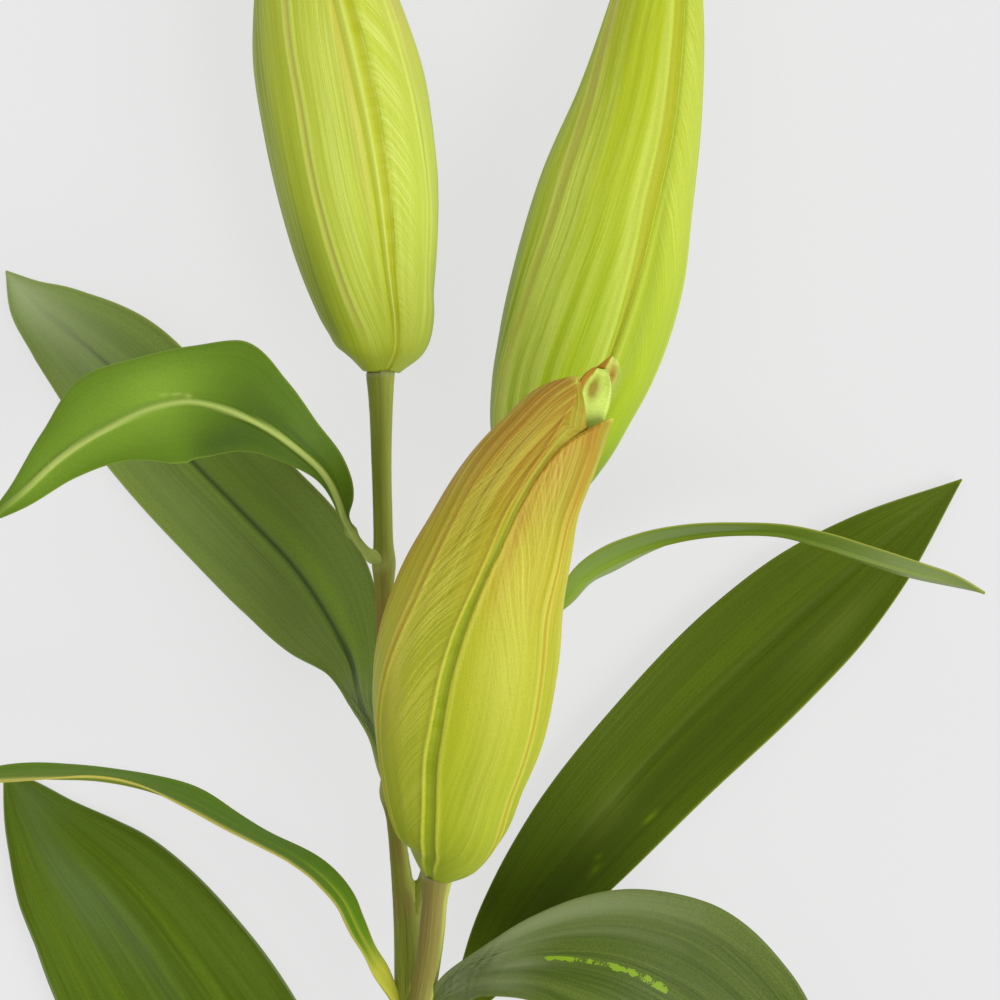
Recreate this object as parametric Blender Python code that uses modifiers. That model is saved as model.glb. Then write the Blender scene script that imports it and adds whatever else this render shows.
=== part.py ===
# Tiger lily: one cut stem with three closed buds and its leaves, lying on a surface.
# Routes and sizes are in millimetres, in the frame of the stem: +Y runs up the stem,
# +Z is up from the surface, and x = 0, y = 0 lies on the stem just below the lowest bud.

import math

import bmesh
import bpy
import numpy as np
from mathutils import Matrix, Vector

MM = 0.001
GAP = 0.3

# Where the middle of the underside of the whole stem lies in the frame above.
ORIGIN = (4.43, -5.95, 0.0)

# Stem and flower stalks: x, y, z, radius.
STEM_ROUTE = [
    (-0.6, -236.0, 2.3, 2.75),
    (-1.7, -184.0, 4.4, 2.7),
    (-2.4, -129.0, 7.2, 2.65),
    (-2.0, -74.0, 11.0, 2.6),
    (-0.8, -28.0, 14.5, 2.55),
    (-0.1, 0.0, 16.0, 2.5),
    (-0.2, 13.0, 16.0, 2.5),
    (-0.9, 19.5, 15.8, 2.1),
    (-1.7, 26.0, 15.5, 1.75),
    (-3.2, 43.0, 15.2, 1.8),
    (-4.1, 58.0, 15.0, 1.8),
    (-4.5, 81.0, 15.0, 1.8),
    (-4.9, 98.0, 15.0, 1.9),
    (-5.0, 108.5, 15.0, 2.3),
    (-5.1, 113.0, 15.0, 2.7),
]
RIGHT_STALK_ROUTE = [
    (-0.2, 13.0, 16.0, 1.7),
    (1.6, 21.0, 15.0, 1.75),
    (4.2, 32.0, 13.2, 1.75),
    (9.7, 48.3, 12.2, 1.8),
    (16.0, 66.4, 12.5, 1.9),
    (20.5, 79.1, 13.9, 2.2),
    (22.8, 87.7, 14.6, 2.7),
]
FRONT_STALK_ROUTE = [
    (0.2, -9.0, 16.4, 2.0),
    (1.6, -3.7, 18.3, 2.2),
    (3.1, 3.7, 21.2, 2.3),
    (4.4, 13.0, 25.0, 2.35),
    (5.0, 20.6, 28.0, 2.4),
    (5.3, 23.2, 28.95, 2.75),
]
STEM_STEP = 9.0
NODE_SWELLING = 0.35
NODE_HALF_LENGTH = 2.8

# The stem's cut end: a slanted cut, and a small flat spot under it where the stem rests.
FLAT_SPOT_Z = 0.0
UNDER_BOX = (40.0, 400.0, 20.0)
CUT_SLOPE = 35.0
CUT_BOX = (40.0, 20.0, 60.0)
CUT_BOX_SETBACK = 8.4

# Buds. Each row is x, y, z and the radius there. "seam" is the side, in degrees from straight
# up towards +X, where the middle of an inner tepal shows between two outer ones.
BUDS = {
    "left_bud": {
        "seam": (16.0, 16.0),
        "rows": [
            (-5.1, 113.3, 15.0, 3.3), (-5.0, 115.0, 15.0, 5.0), (-4.9, 117.1, 15.1, 7.1),
            (-5.4, 121.7, 15.1, 9.2), (-6.2, 126.2, 15.2, 10.7), (-8.8, 144.3, 15.25, 14.3),
            (-11.0, 158.0, 15.25, 15.2), (-13.6, 171.4, 15.25, 14.6), (-15.4, 180.4, 15.0, 12.9),
            (-17.3, 189.5, 14.6, 10.5), (-20.7, 207.7, 13.8, 5.3), (-22.2, 215.9, 13.4, 2.9),
            (-23.1, 222.0, 13.0, 1.3),
        ],
        "ends": (1.0, 1.0, 1.0),
        "flares": (0.0, 0.0, 0.0),
    },
    "right_bud": {
        "seam": (25.0, 25.0),
        "rows": [
            (22.9, 88.0, 14.6, 3.3), (23.5, 90.2, 14.7, 5.5), (24.3, 94.5, 14.8, 8.3),
            (25.3, 99.0, 14.9, 10.5), (27.8, 108.1, 15.1, 13.1), (30.8, 117.1, 15.14, 14.7),
            (34.4, 130.6, 15.14, 15.3), (37.4, 144.3, 15.14, 14.2), (42.0, 162.4, 15.1, 11.3),
            (45.1, 180.5, 14.8, 8.3), (46.8, 198.6, 14.0, 4.7), (47.7, 211.0, 13.3, 1.3),
        ],
        "ends": (1.0, 1.0, 1.0),
        "flares": (0.0, 0.0, 0.0),
    },
    "front_bud": {
        "seam": (-6.0, 11.0),
        "rows": [
            (5.4, 23.6, 29.1, 3.3), (6.0, 25.5, 30.0, 5.2), (7.0, 28.6, 31.4, 7.5),
            (7.5, 32.3, 33.0, 10.0), (8.2, 41.3, 36.0, 13.0), (9.4, 50.2, 38.5, 15.2),
            (10.8, 62.0, 41.3, 16.2), (12.9, 72.4, 43.0, 15.1), (15.9, 81.2, 44.6, 13.4),
            (19.2, 90.0, 46.0, 11.4), (25.0, 100.5, 47.4, 8.5), (27.9, 105.4, 48.0, 6.6),
            (31.2, 109.6, 48.6, 4.2), (34.6, 113.1, 49.0, 1.5),
        ],
        "ends": (0.945, 0.9, 1.0),
        "flares": (0.0, 2.2, 0.0),
    },
}
BUD_ROWS = (
    0.0, 0.018, 0.045, 0.09, 0.16, 0.25, 0.35, 0.45, 0.55, 0.65, 0.75, 0.84, 0.92, 0.96, 1.0,
)
OUTER_WALL = 1.2
INNER_WALL = 0.9
KEEL = 0.5
TIP_WALL = 0.7
RIM_WALL = 0.75
SEAM_HALF_WIDTH = [
    (0.0, 0.7), (0.16, 1.3), (0.35, 2.1), (0.6, 1.8),
    (0.84, 1.1), (0.92, 0.8), (0.96, 0.2), (1.0, 0.0),
]
SEAM_SIDE = 0.1
SEAM_CLEARANCE = 0.4
TIP_CLEARANCE = 0.2
SEAM_SPACING = 120.0
OUTER_COLUMNS = (-1.0, -0.68, -0.3, 0.0, 0.3, 0.68, 1.0)
KEEL_SHARES = (0.0, 0.0, 0.15, 1.0, 0.15, 0.0, 0.0)
FLARE_START = 0.6
FLARE_NARROWING = 0.93
FLARE_TAPER = 2.2
INNER_WINGS = (34.0, 46.0, 46.0, 30.0)
INNER_END = 0.92
INNER_END_RADIUS = 3.2

# Inside a bud: one pistil and six stamens round it.
# The pistil's rows are the place along the bud and the radius; the stamens' have the distance
# from the bud's axis between the two.
PISTIL = [
    (0.0, 0.55), (0.05, 1.1), (0.12, 1.6), (0.24, 1.5),
    (0.3, 0.8), (0.72, 0.7), (0.76, 1.6), (0.8, 1.4),
]
STAMEN = [
    (0.09, 0.6, 0.5), (0.2, 2.6, 0.5), (0.4, 4.6, 0.5), (0.5, 5.0, 0.5),
    (0.52, 5.0, 1.1), (0.64, 4.6, 1.1), (0.68, 4.2, 0.5),
]
STAMENS = 6
STAMEN_TURN = 30.0

# Leaves. Each row is x, y, z, half width and roll in degrees about the leaf's own direction.
# "foot" is where the leaf leaves the stem, and a roll of 180 turns its underside up.
BLADE = 0.8
RIB = 1.3
FOOT_THICKNESS = 2.2
LEAVES = {
    "leaf_left_behind": {
        "foot": ("stem", 36.5),
        "cup": 0.10,
        "rows": [
            (-4.6, 41.1, 13.8, 1.0, 0), (-6.3, 47.3, 11.0, 1.2, 10), (-8.8, 53.2, 8.2, 2.4, 20),
            (-10.7, 60.8, 6.2, 5.9, 10), (-14.3, 67.6, 5.0, 9.8, 0), (-20.4, 76.8, 4.0, 12.3, 0),
            (-30.3, 87.4, 3.2, 12.7, 0), (-40.4, 97.7, 2.8, 12.4, 0), (-55.8, 115.3, 2.2, 11.0, 0),
            (-64.1, 122.1, 2.0, 7.6, 0), (-69.5, 126.5, 1.8, 4.6, 0), (-74.0, 132.0, 1.6, 0.6, 0),
        ],
    },
    "leaf_left_arched": {
        "foot": ("stem", 78.5),
        "cup": 0.05,
        "rows": [
            (-7.2, 80.6, 18.0, 1.1, 180), (-9.1, 83.7, 21.5, 1.1, 180), (-10.8, 88.6, 25.5, 1.5, 180),
            (-13.6, 93.9, 29.0, 3.4, 180), (-16.7, 98.2, 31.0, 5.2, 180), (-21.6, 103.0, 33.0, 7.1, 180),
            (-26.9, 106.5, 34.0, 8.8, 180), (-32.2, 107.9, 34.5, 10.0, 180),
            (-40.2, 107.0, 34.0, 10.6, 180), (-47.0, 105.6, 32.8, 10.1, 180),
            (-54.5, 103.0, 30.4, 9.0, 180), (-60.2, 99.2, 28.5, 7.2, 180),
            (-65.7, 94.3, 26.5, 4.3, 180), (-76.5, 85.5, 22.0, 0.6, 180),
        ],
    },
    "leaf_right_edgewise": {
        "foot": ("stem", 37.5),
        "cup": 0.05,
        "rows": [
            (0.3, 43.5, 16.6, 1.0, -60), (6.6, 51.6, 17.8, 1.3, -95), (13.9, 59.4, 18.6, 1.8, -100),
            (21.1, 66.6, 19.4, 4.0, -105), (28.6, 72.6, 20.2, 8.1, -107), (36.4, 77.6, 20.8, 10.4, -102),
            (45.5, 81.5, 21.0, 11.1, -98), (56.1, 83.9, 21.0, 10.8, -97), (68.9, 83.5, 21.0, 9.4, -97),
            (79.5, 81.2, 20.5, 7.2, -100), (89.8, 78.1, 20.0, 4.7, -100), (103.9, 73.4, 19.0, 0.6, -100),
        ],
    },
    "leaf_right_behind": {
        "foot": ("stem", -15.0),
        "cup": 0.06,
        "rows": [
            (2.4, -12.0, 13.8, 1.1, 0), (5.7, -7.9, 12.3, 1.4, 0), (9.7, -2.7, 10.5, 2.4, 0),
            (13.5, 3.5, 8.7, 4.6, 0), (17.5, 9.8, 7.2, 6.6, 0), (22.0, 16.1, 6.0, 8.2, 0),
            (29.9, 26.1, 5.0, 10.2, 0), (46.2, 44.3, 3.6, 11.9, 0), (64.9, 62.5, 2.8, 12.4, 0),
            (75.2, 71.7, 2.5, 11.2, 0), (85.8, 80.8, 2.2, 7.9, 0), (101.2, 93.8, 1.8, 0.6, 0),
        ],
    },
    "leaf_right_front": {
        "foot": ("front_stalk", -2.5),
        "cup": 0.06,
        "rows": [
            (4.6, 0.6, 21.4, 1.3, 0), (7.6, 4.0, 25.0, 1.7, 0), (11.2, 6.2, 28.6, 2.4, 0),
            (16.6, 7.6, 31.5, 4.6, 0), (22.6, 8.5, 33.0, 7.6, 0), (30.1, 8.3, 33.5, 11.5, 0),
            (37.5, 6.9, 33.0, 14.7, 0), (45.8, 3.1, 31.0, 17.3, 0), (55.9, -4.7, 27.0, 16.4, 0),
            (65.1, -15.2, 21.0, 12.4, 0), (72.6, -25.8, 15.0, 6.6, 0), (77.5, -34.5, 10.0, 0.6, 0),
        ],
    },
    "leaf_left_edgewise": {
        "foot": ("stem", -3.5),
        "cup": 0.05,
        "rows": [
            (-3.0, 1.6, 18.2, 1.1, 60), (-5.1, 5.5, 19.2, 1.2, 80), (-7.4, 9.8, 20.2, 1.6, 80),
            (-10.0, 14.8, 21.0, 3.4, 58), (-13.8, 20.0, 22.0, 6.1, 66), (-19.3, 24.6, 23.0, 8.4, 74),
            (-27.4, 29.4, 24.0, 10.0, 80), (-41.7, 36.8, 24.0, 10.6, 80), (-50.2, 39.2, 23.5, 9.9, 80),
            (-62.5, 40.6, 22.0, 8.6, 80), (-73.4, 40.7, 20.0, 6.8, 80), (-92.9, 36.6, 15.5, 0.6, 80),
        ],
    },
    "leaf_left_broad": {
        "foot": ("stem", -54.5),
        "cup": 0.05,
        "rows": [
            (-4.3, -50.3, 10.2, 1.6, 0), (-9.3, -45.9, 8.2, 4.9, 0), (-14.8, -40.1, 6.4, 9.5, 0),
            (-20.7, -33.5, 5.2, 13.7, 0), (-26.8, -25.5, 4.4, 16.8, 0), (-32.8, -17.2, 3.8, 18.5, 0),
            (-44.4, -0.4, 3.1, 18.9, 0), (-55.8, 16.0, 2.6, 15.4, 0), (-62.0, 23.3, 2.4, 12.1, 0),
            (-67.2, 30.1, 2.1, 7.7, 0), (-71.4, 36.3, 1.9, 3.7, 0), (-74.4, 40.5, 1.7, 0.6, 0),
        ],
    },
    "leaf_lower_right_flat": {
        "foot": ("stem", -72.0),
        "cup": 0.05,
        "rows": [
            (3.0, -69.0, 9.6, 1.3, 0), (10.0, -66.5, 7.2, 2.8, 0), (24.0, -64.5, 4.4, 8.5, 0),
            (44.0, -64.0, 3.0, 12.5, 0), (66.0, -62.0, 2.3, 11.5, 0), (86.0, -56.5, 1.9, 6.5, 0),
            (102.0, -49.0, 1.6, 0.6, 0),
        ],
    },
    "leaf_lower_left_flat": {
        "foot": ("stem", -90.0),
        "cup": 0.05,
        "rows": [
            (-6.5, -87.0, 8.0, 1.3, 0), (-13.0, -83.5, 6.0, 3.2, 0), (-26.0, -77.0, 4.0, 9.0, 0),
            (-44.0, -68.5, 2.8, 12.5, 0), (-62.0, -57.0, 2.2, 11.5, 0), (-78.0, -43.5, 1.8, 6.5, 0),
            (-91.0, -29.0, 1.6, 0.6, 0),
        ],
    },
    "leaf_lower_front": {
        "foot": ("stem", -104.0),
        "cup": 0.12,
        "rows": [
            (-0.6, -99.5, 14.0, 1.2, 0), (1.5, -92.0, 22.0, 2.2, 0), (5.5, -79.0, 29.5, 6.5, 0),
            (10.5, -61.0, 33.5, 10.0, 0), (15.5, -43.0, 33.0, 8.6, 0), (19.0, -29.0, 29.5, 4.6, 0),
            (21.5, -18.0, 25.0, 0.6, 0),
        ],
    },
    "leaf_lower_left_arched": {
        "foot": ("stem", -122.0),
        "cup": 0.12,
        "rows": [
            (-6.5, -119.0, 11.5, 1.2, 0), (-13.0, -115.0, 18.0, 2.6, 0), (-27.0, -108.5, 26.0, 7.5, 0),
            (-46.0, -102.5, 28.5, 10.5, 0), (-66.0, -100.5, 24.5, 9.0, 0), (-82.0, -102.5, 17.0, 4.8, 0),
            (-93.0, -107.0, 10.0, 0.6, 0),
        ],
    },
    "leaf_lower_right_arched": {
        "foot": ("stem", -138.0),
        "cup": 0.12,
        "rows": [
            (2.2, -135.0, 11.0, 1.2, 0), (9.0, -130.0, 18.0, 2.6, 0), (23.0, -120.5, 26.5, 7.5, 0),
            (42.0, -111.5, 30.0, 10.5, 0), (62.0, -107.5, 26.5, 9.0, 0), (78.0, -108.5, 19.0, 4.8, 0),
            (90.0, -113.0, 12.0, 0.6, 0),
        ],
    },
    "leaf_lowest_left": {
        "foot": ("stem", -158.0),
        "cup": 0.05,
        "rows": [
            (-6.5, -156.0, 5.4, 1.3, 0), (-14.0, -152.5, 4.2, 3.2, 0), (-30.0, -146.0, 3.0, 8.5, 0),
            (-50.0, -138.0, 2.3, 11.0, 0), (-69.0, -130.5, 1.9, 9.0, 0), (-84.0, -126.0, 1.7, 4.4, 0),
            (-95.0, -124.0, 1.6, 0.6, 0),
        ],
    },
}
LEAF_ROWS = 15
SHORT_LEAF_ROWS = 11
LEAF_COLUMNS = (-1.0, -0.55, -0.12, 0.0, 0.12, 0.55, 1.0)
RIB_SHARES = (0.0, 0.0, 0.35, 1.0, 0.35, 0.0, 0.0)

STEM_GREEN = (0.235, 0.235, 0.045)
LEAF_GREEN = (0.085, 0.135, 0.018)
LEAF_UNDERSIDE = (0.17, 0.27, 0.045)
BUD_LIME = (0.47, 0.56, 0.075)
RIPE_LIME = (0.48, 0.44, 0.06)
SEAM_GREEN = (0.42, 0.46, 0.04)
PISTIL_GREEN = (0.45, 0.50, 0.22)


def remove_scene_objects():
    for obj in list(bpy.data.objects):
        bpy.data.objects.remove(obj, do_unlink=True)


def new_collection(name):
    collection = bpy.data.collections.new(name)
    bpy.context.scene.collection.children.link(collection)
    return collection


def make_material(name, color, roughness):
    material = bpy.data.materials.new(name)
    material.use_nodes = True
    shader = material.node_tree.nodes["Principled BSDF"]
    shader.inputs["Base Color"].default_value = (*color, 1.0)
    shader.inputs["Roughness"].default_value = roughness
    shader.inputs["Metallic"].default_value = 0.0
    return material


def curve_through(knots, values, places):
    """Smooth values at the given places, on a curve that passes through every knot."""
    knots = np.asarray(knots, dtype=float)
    values = np.asarray(values, dtype=float)
    places = np.clip(np.asarray(places, dtype=float), knots[0], knots[-1])
    slopes = np.gradient(values, knots, axis=0)
    index = np.clip(np.searchsorted(knots, places, side="right") - 1, 0, len(knots) - 2)
    span = knots[index + 1] - knots[index]
    u = (places - knots[index]) / span
    shape = (-1,) + (1,) * (values.ndim - 1)
    u = u.reshape(shape)
    span = span.reshape(shape)
    return (
        (2 * u**3 - 3 * u**2 + 1) * values[index]
        + (u**3 - 2 * u**2 + u) * span * slopes[index]
        + (3 * u**2 - 2 * u**3) * values[index + 1]
        + (u**3 - u**2) * span * slopes[index + 1]
    )


def running_length(points):
    steps = np.linalg.norm(np.diff(np.asarray(points, dtype=float)[:, :3], axis=0), axis=1)
    return np.concatenate([[0.0], np.cumsum(steps)])


def row_at(route, y):
    """The point and radius of a stem or stalk at height y along +Y."""
    route = np.asarray(route)
    return curve_through(route[:, 1], route, [y])[0]


def leaf_nodes(carrier):
    return [leaf["foot"][1] for leaf in LEAVES.values() if leaf["foot"][0] == carrier]


def stem_rows(route, nodes):
    """Rows along a route, every STEM_STEP, with a swelling at each leaf node."""
    start, end = route[0][1], route[-1][1]
    heights = list(np.linspace(start, end, max(6, round((end - start) / STEM_STEP))))
    for node in nodes:
        heights = [y for y in heights if abs(y - node) > 1.4 * NODE_HALF_LENGTH or y in (start, end)]
        heights += [node - NODE_HALF_LENGTH, node, node + NODE_HALF_LENGTH]
    rows = []
    for y in sorted(heights):
        row = row_at(route, y)
        nearest = min([abs(y - node) for node in nodes], default=NODE_HALF_LENGTH)
        row[3] += NODE_SWELLING * max(0.0, 1.0 - nearest / NODE_HALF_LENGTH)
        rows.append(row)
    return rows


def tube(name, rows, collection, bevel_resolution, grow=0.0):
    """A closed round tube through rows of x, y, z and radius, as a mesh object."""
    curve = bpy.data.curves.new(name, "CURVE")
    curve.dimensions = "3D"
    curve.bevel_depth = MM
    curve.bevel_resolution = bevel_resolution
    curve.use_fill_caps = True
    spline = curve.splines.new("POLY")
    spline.points.add(len(rows) - 1)
    for point, (x, y, z, radius) in zip(spline.points, rows):
        point.co = (x * MM, y * MM, z * MM, 1.0)
        point.radius = radius + grow
    guide = bpy.data.objects.new(name + "_curve", curve)
    collection.objects.link(guide)
    obj = mesh_of(guide, name, collection)
    bpy.data.objects.remove(guide, do_unlink=True)
    return obj


def mesh_of(source, name, collection):
    """The evaluated shape of an object as a new mesh object with welded corners."""
    graph = bpy.context.evaluated_depsgraph_get()
    graph.update()
    mesh = bpy.data.meshes.new_from_object(source.evaluated_get(graph))
    mesh.name = name
    editor = bmesh.new()
    editor.from_mesh(mesh)
    bmesh.ops.remove_doubles(editor, verts=editor.verts, dist=0.000001)
    bmesh.ops.recalc_face_normals(editor, faces=editor.faces)
    editor.to_mesh(mesh)
    editor.free()
    obj = bpy.data.objects.new(name, mesh)
    obj.matrix_world = source.matrix_world
    collection.objects.link(obj)
    return obj


def combine(target, others, operation, name, collection):
    """One applied Boolean of a target with a set of others, which are then removed."""
    operands = new_collection(name + "_operands")
    for obj in others:
        for owner in list(obj.users_collection):
            owner.objects.unlink(obj)
        operands.objects.link(obj)
    modifier = target.modifiers.new("combine", "BOOLEAN")
    modifier.operation = operation
    modifier.operand_type = "COLLECTION"
    modifier.collection = operands
    modifier.solver = "EXACT"
    result = mesh_of(target, name, collection)
    for obj in list(operands.objects) + [target]:
        bpy.data.objects.remove(obj, do_unlink=True)
    bpy.data.collections.remove(operands)
    return result


def box(name, size, location, tilt, collection):
    mesh = bpy.data.meshes.new(name)
    editor = bmesh.new()
    bmesh.ops.create_cube(editor, size=1.0)
    editor.transform(Matrix.Diagonal((*[side * MM for side in size], 1.0)))
    editor.to_mesh(mesh)
    editor.free()
    obj = bpy.data.objects.new(name, mesh)
    obj.location = [part * MM for part in location]
    obj.rotation_euler = (math.radians(tilt), 0.0, 0.0)
    collection.objects.link(obj)
    return obj


def blade(name, points, walls, outward, collection, material):
    """A closed blade: a net of points, given thickness on one side of it.

    points and walls are nested lists, a row along the blade at a time. The faces' front is
    the side that columns and rows turn to, and outward is +1 to thicken that side, or -1.
    """
    rows, columns = len(points), len(points[0])
    corners = [tuple(part * MM for part in point) for row in points for point in row]
    faces = []
    for i in range(rows - 1):
        for j in range(columns - 1):
            a = i * columns + j
            b = a + 1
            c = b + columns
            d = a + columns
            faces += [(a, b, c), (a, c, d)]
    mesh = bpy.data.meshes.new(name)
    mesh.from_pydata(corners, [], faces)
    obj = bpy.data.objects.new(name, mesh)
    collection.objects.link(obj)
    thickest = max(max(row) for row in walls)
    group = obj.vertex_groups.new(name="wall")
    for index, wall in enumerate(wall for row in walls for wall in row):
        group.add([index], wall / thickest, "REPLACE")
    solid = obj.modifiers.new("wall", "SOLIDIFY")
    solid.thickness = thickest * MM
    solid.offset = outward
    solid.use_rim = True
    solid.vertex_group = "wall"
    solid.thickness_vertex_group = 0.0
    mesh.materials.append(material)
    mesh.shade_smooth()
    return obj


def axis_frame(direction):
    """Two directions across an axis: the one nearest straight up, and the one right of it."""
    across_up = Vector((0.0, 0.0, 1.0))
    across_up = (across_up - across_up.dot(direction) * direction).normalized()
    return across_up, direction.cross(across_up)


class Bud:
    """The form of one bud: its axis, its radius along it and where its inner tepals show."""

    def __init__(self, rows, seam):
        self.rows = np.asarray(rows)
        self.lengths = running_length(rows)
        self.length = float(self.lengths[-1])
        self.seam = seam

    def row(self, t):
        return curve_through(self.lengths, self.rows, [t * self.length])[0].tolist()

    def radius(self, t):
        return self.row(t)[3]

    def direction(self, t):
        step = 0.01
        low, high = max(0.0, t - step), min(1.0, t + step)
        return (Vector(self.row(high)[:3]) - Vector(self.row(low)[:3])).normalized()

    def seam_angle(self, t):
        return self.seam[0] + (self.seam[1] - self.seam[0]) * t

    def seam_half_width(self, t):
        places, widths = zip(*SEAM_HALF_WIDTH)
        return float(np.interp(t, places, widths))

    def point(self, t, depth, degrees, flare=0.0):
        """A point at a depth under the bud's surface, at an angle round it."""
        step = 0.006
        low, high = max(0.0, t - step), min(1.0, t + step)
        slope = (self.radius(high) - self.radius(low)) / ((high - low) * self.length)
        scale = math.hypot(slope, 1.0)
        shift = depth * slope / scale
        radius = self.radius(t) - depth / scale + flare
        direction = self.direction(t)
        up, right = axis_frame(direction)
        angle = math.radians(degrees)
        centre = Vector(self.row(t)[:3]) + shift * direction
        return centre + radius * (math.cos(angle) * up + math.sin(angle) * right)


def wall_at(t, full):
    """A tepal's wall: thinner at the foot, full along the middle, thinner at the tip."""
    return float(np.interp(t, (0.0, 0.12, 0.85, 1.0), (RIM_WALL, full, full, TIP_WALL)))


def tepal_rows(end):
    return [t for t in BUD_ROWS if t < end - 0.02] + [end]


def outer_tepal(name, bud, turn, end, flare, collection, material):
    """One of the three outer tepals, centred at an angle from the bud's front seam."""
    points, walls = [], []
    for t in tepal_rows(end):
        wall = wall_at(t / end, OUTER_WALL)
        inside = max(0.5, bud.radius(t) - wall)
        clearance = float(np.interp(t, (0.92, 1.0), (SEAM_CLEARANCE, TIP_CLEARANCE)))
        half = 0.5 * SEAM_SPACING - math.degrees((bud.seam_half_width(t) + clearance) / inside)
        opening = 0.0
        if flare:
            rise = max(0.0, t - FLARE_START) / (end - FLARE_START)
            opening = flare * rise**2
            half *= 1.0 - FLARE_NARROWING * rise**FLARE_TAPER
        centre = bud.seam_angle(t) + turn
        points.append([bud.point(t, wall, centre + u * half, opening) for u in OUTER_COLUMNS])
        keel = KEEL * math.sin(math.pi * t)
        walls.append([wall + keel * share for share in KEEL_SHARES])
    return blade(name, points, walls, 1.0, collection, material)


def inner_tepal(name, bud, turn, end, collection, material):
    """One of the three inner tepals: thin wings under the outer ones, and a thick middle rib
    that fills the seam between them."""
    points, walls = [], []
    for t in tepal_rows(end):
        outer = wall_at(t, OUTER_WALL)
        wall = wall_at(t, INNER_WALL)
        depth = outer + GAP + wall
        shown = bud.seam_half_width(t)
        radius = bud.radius(t)
        top = math.degrees(shown / radius)
        foot = math.degrees((shown + SEAM_SIDE) / (radius - outer))
        wing = float(np.interp(t, (0.0, 0.1, 0.7, end), INNER_WINGS))
        middle = 0.5 * (foot + wing)
        angles = (-wing, -middle, -foot, -top, 0.0, top, foot, middle, wing)
        centre = bud.seam_angle(t) + turn
        points.append([bud.point(t, depth, centre + angle) for angle in angles])
        walls.append([wall] * 3 + [depth] * 3 + [wall] * 3)
    return blade(name, points, walls, 1.0, collection, material)


def stamens_and_pistil(name, bud, collection, material):
    def rows(stations, turn):
        placed = []
        for t, reach, radius in stations:
            centre = Vector(bud.row(t)[:3])
            up, right = axis_frame(bud.direction(t))
            angle = math.radians(turn)
            side = math.cos(angle) * up + math.sin(angle) * right
            placed.append((*(centre + reach * side), radius))
        return placed

    pistil = tube(name + "_pistil", rows([(t, 0.0, r) for t, r in PISTIL], 0.0), collection, 2)
    turns = [bud.seam[0] + STAMEN_TURN + k * 360.0 / STAMENS for k in range(STAMENS)]
    stamens = [
        tube(f"{name}_stamen_{k}", rows(STAMEN, turn), collection, 0)
        for k, turn in enumerate(turns)
    ]
    inside = combine(pistil, stamens, "UNION", name, collection)
    inside.data.materials.append(material)
    return inside


def make_bud(name, spec, collection, materials):
    bud = Bud(spec["rows"], spec["seam"])
    places = np.linspace(0.5, INNER_END, 43).tolist()
    last_inner = max(t for t in places if bud.radius(t) >= INNER_END_RADIUS)
    turns = (-0.5 * SEAM_SPACING, 0.5 * SEAM_SPACING, 180.0)
    outer_places = zip(("left", "right", "back"), turns, spec["ends"], spec["flares"])
    skin = materials["ripe_tepal" if name == "front_bud" else "outer_tepal"]
    seam_skin = materials["inner_tepal"]
    parts = [
        outer_tepal(f"{name}_outer_tepal_{side}", bud, turn, end, flare, collection, skin)
        for side, turn, end, flare in outer_places
    ]
    parts += [
        inner_tepal(f"{name}_inner_tepal_{side}", bud, turn, last_inner, collection, seam_skin)
        for side, turn in (("front", 0.0), ("right", SEAM_SPACING), ("left", -SEAM_SPACING))
    ]
    parts.append(stamens_and_pistil(f"{name}_stamens_and_pistil", bud, collection, materials["pistil"]))
    return parts


def make_stem(collection, material):
    stem = tube("stem_main", stem_rows(STEM_ROUTE, leaf_nodes("stem")), collection, 3)
    right = tube("stem_right", stem_rows(RIGHT_STALK_ROUTE, []), collection, 2)
    front = tube("stem_front", stem_rows(FRONT_STALK_ROUTE, []), collection, 2)
    whole = combine(stem, [right, front], "UNION", "stem_whole", collection)
    end = STEM_ROUTE[0]
    under_place = (end[0], end[1] + 0.4 * UNDER_BOX[1], FLAT_SPOT_Z - 0.5 * UNDER_BOX[2])
    under = box("under", UNDER_BOX, under_place, 0.0, collection)
    slant = box("slant", CUT_BOX, (end[0], end[1] - CUT_BOX_SETBACK, end[2]), CUT_SLOPE, collection)
    stem = combine(whole, [under, slant], "DIFFERENCE", "stem", collection)
    stem.data.materials.append(material)
    stem.data.shade_smooth()
    stem.data.set_sharp_from_angle(angle=math.radians(50.0))
    return stem


def stem_cutters(collection):
    """The stem and its stalks, fatter by the gap, to trim each leaf's foot."""
    cutters = [
        tube("cutter_stem", stem_rows(STEM_ROUTE, leaf_nodes("stem")), collection, 3, GAP),
        tube("cutter_right", stem_rows(RIGHT_STALK_ROUTE, []), collection, 2, GAP),
        tube("cutter_front", stem_rows(FRONT_STALK_ROUTE, []), collection, 2, GAP),
    ]
    for cutter in cutters:
        cutter.hide_render = True
        cutter.display_type = "WIRE"


def leaf_rows(leaf, count):
    """Rows of x, y, z, half width and roll, from inside the stem to the leaf's tip."""
    carrier, height = leaf["foot"]
    foot = row_at(STEM_ROUTE if carrier == "stem" else FRONT_STALK_ROUTE, height)
    first = leaf["rows"][0]
    rows = np.asarray([(*foot[:3], first[3], first[4])] + leaf["rows"])
    lengths = running_length(rows)
    places = lengths[-1] * np.linspace(0.0, 1.0, count) ** 1.15
    return curve_through(lengths, rows, places).tolist(), (places / lengths[-1]).tolist()


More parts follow.
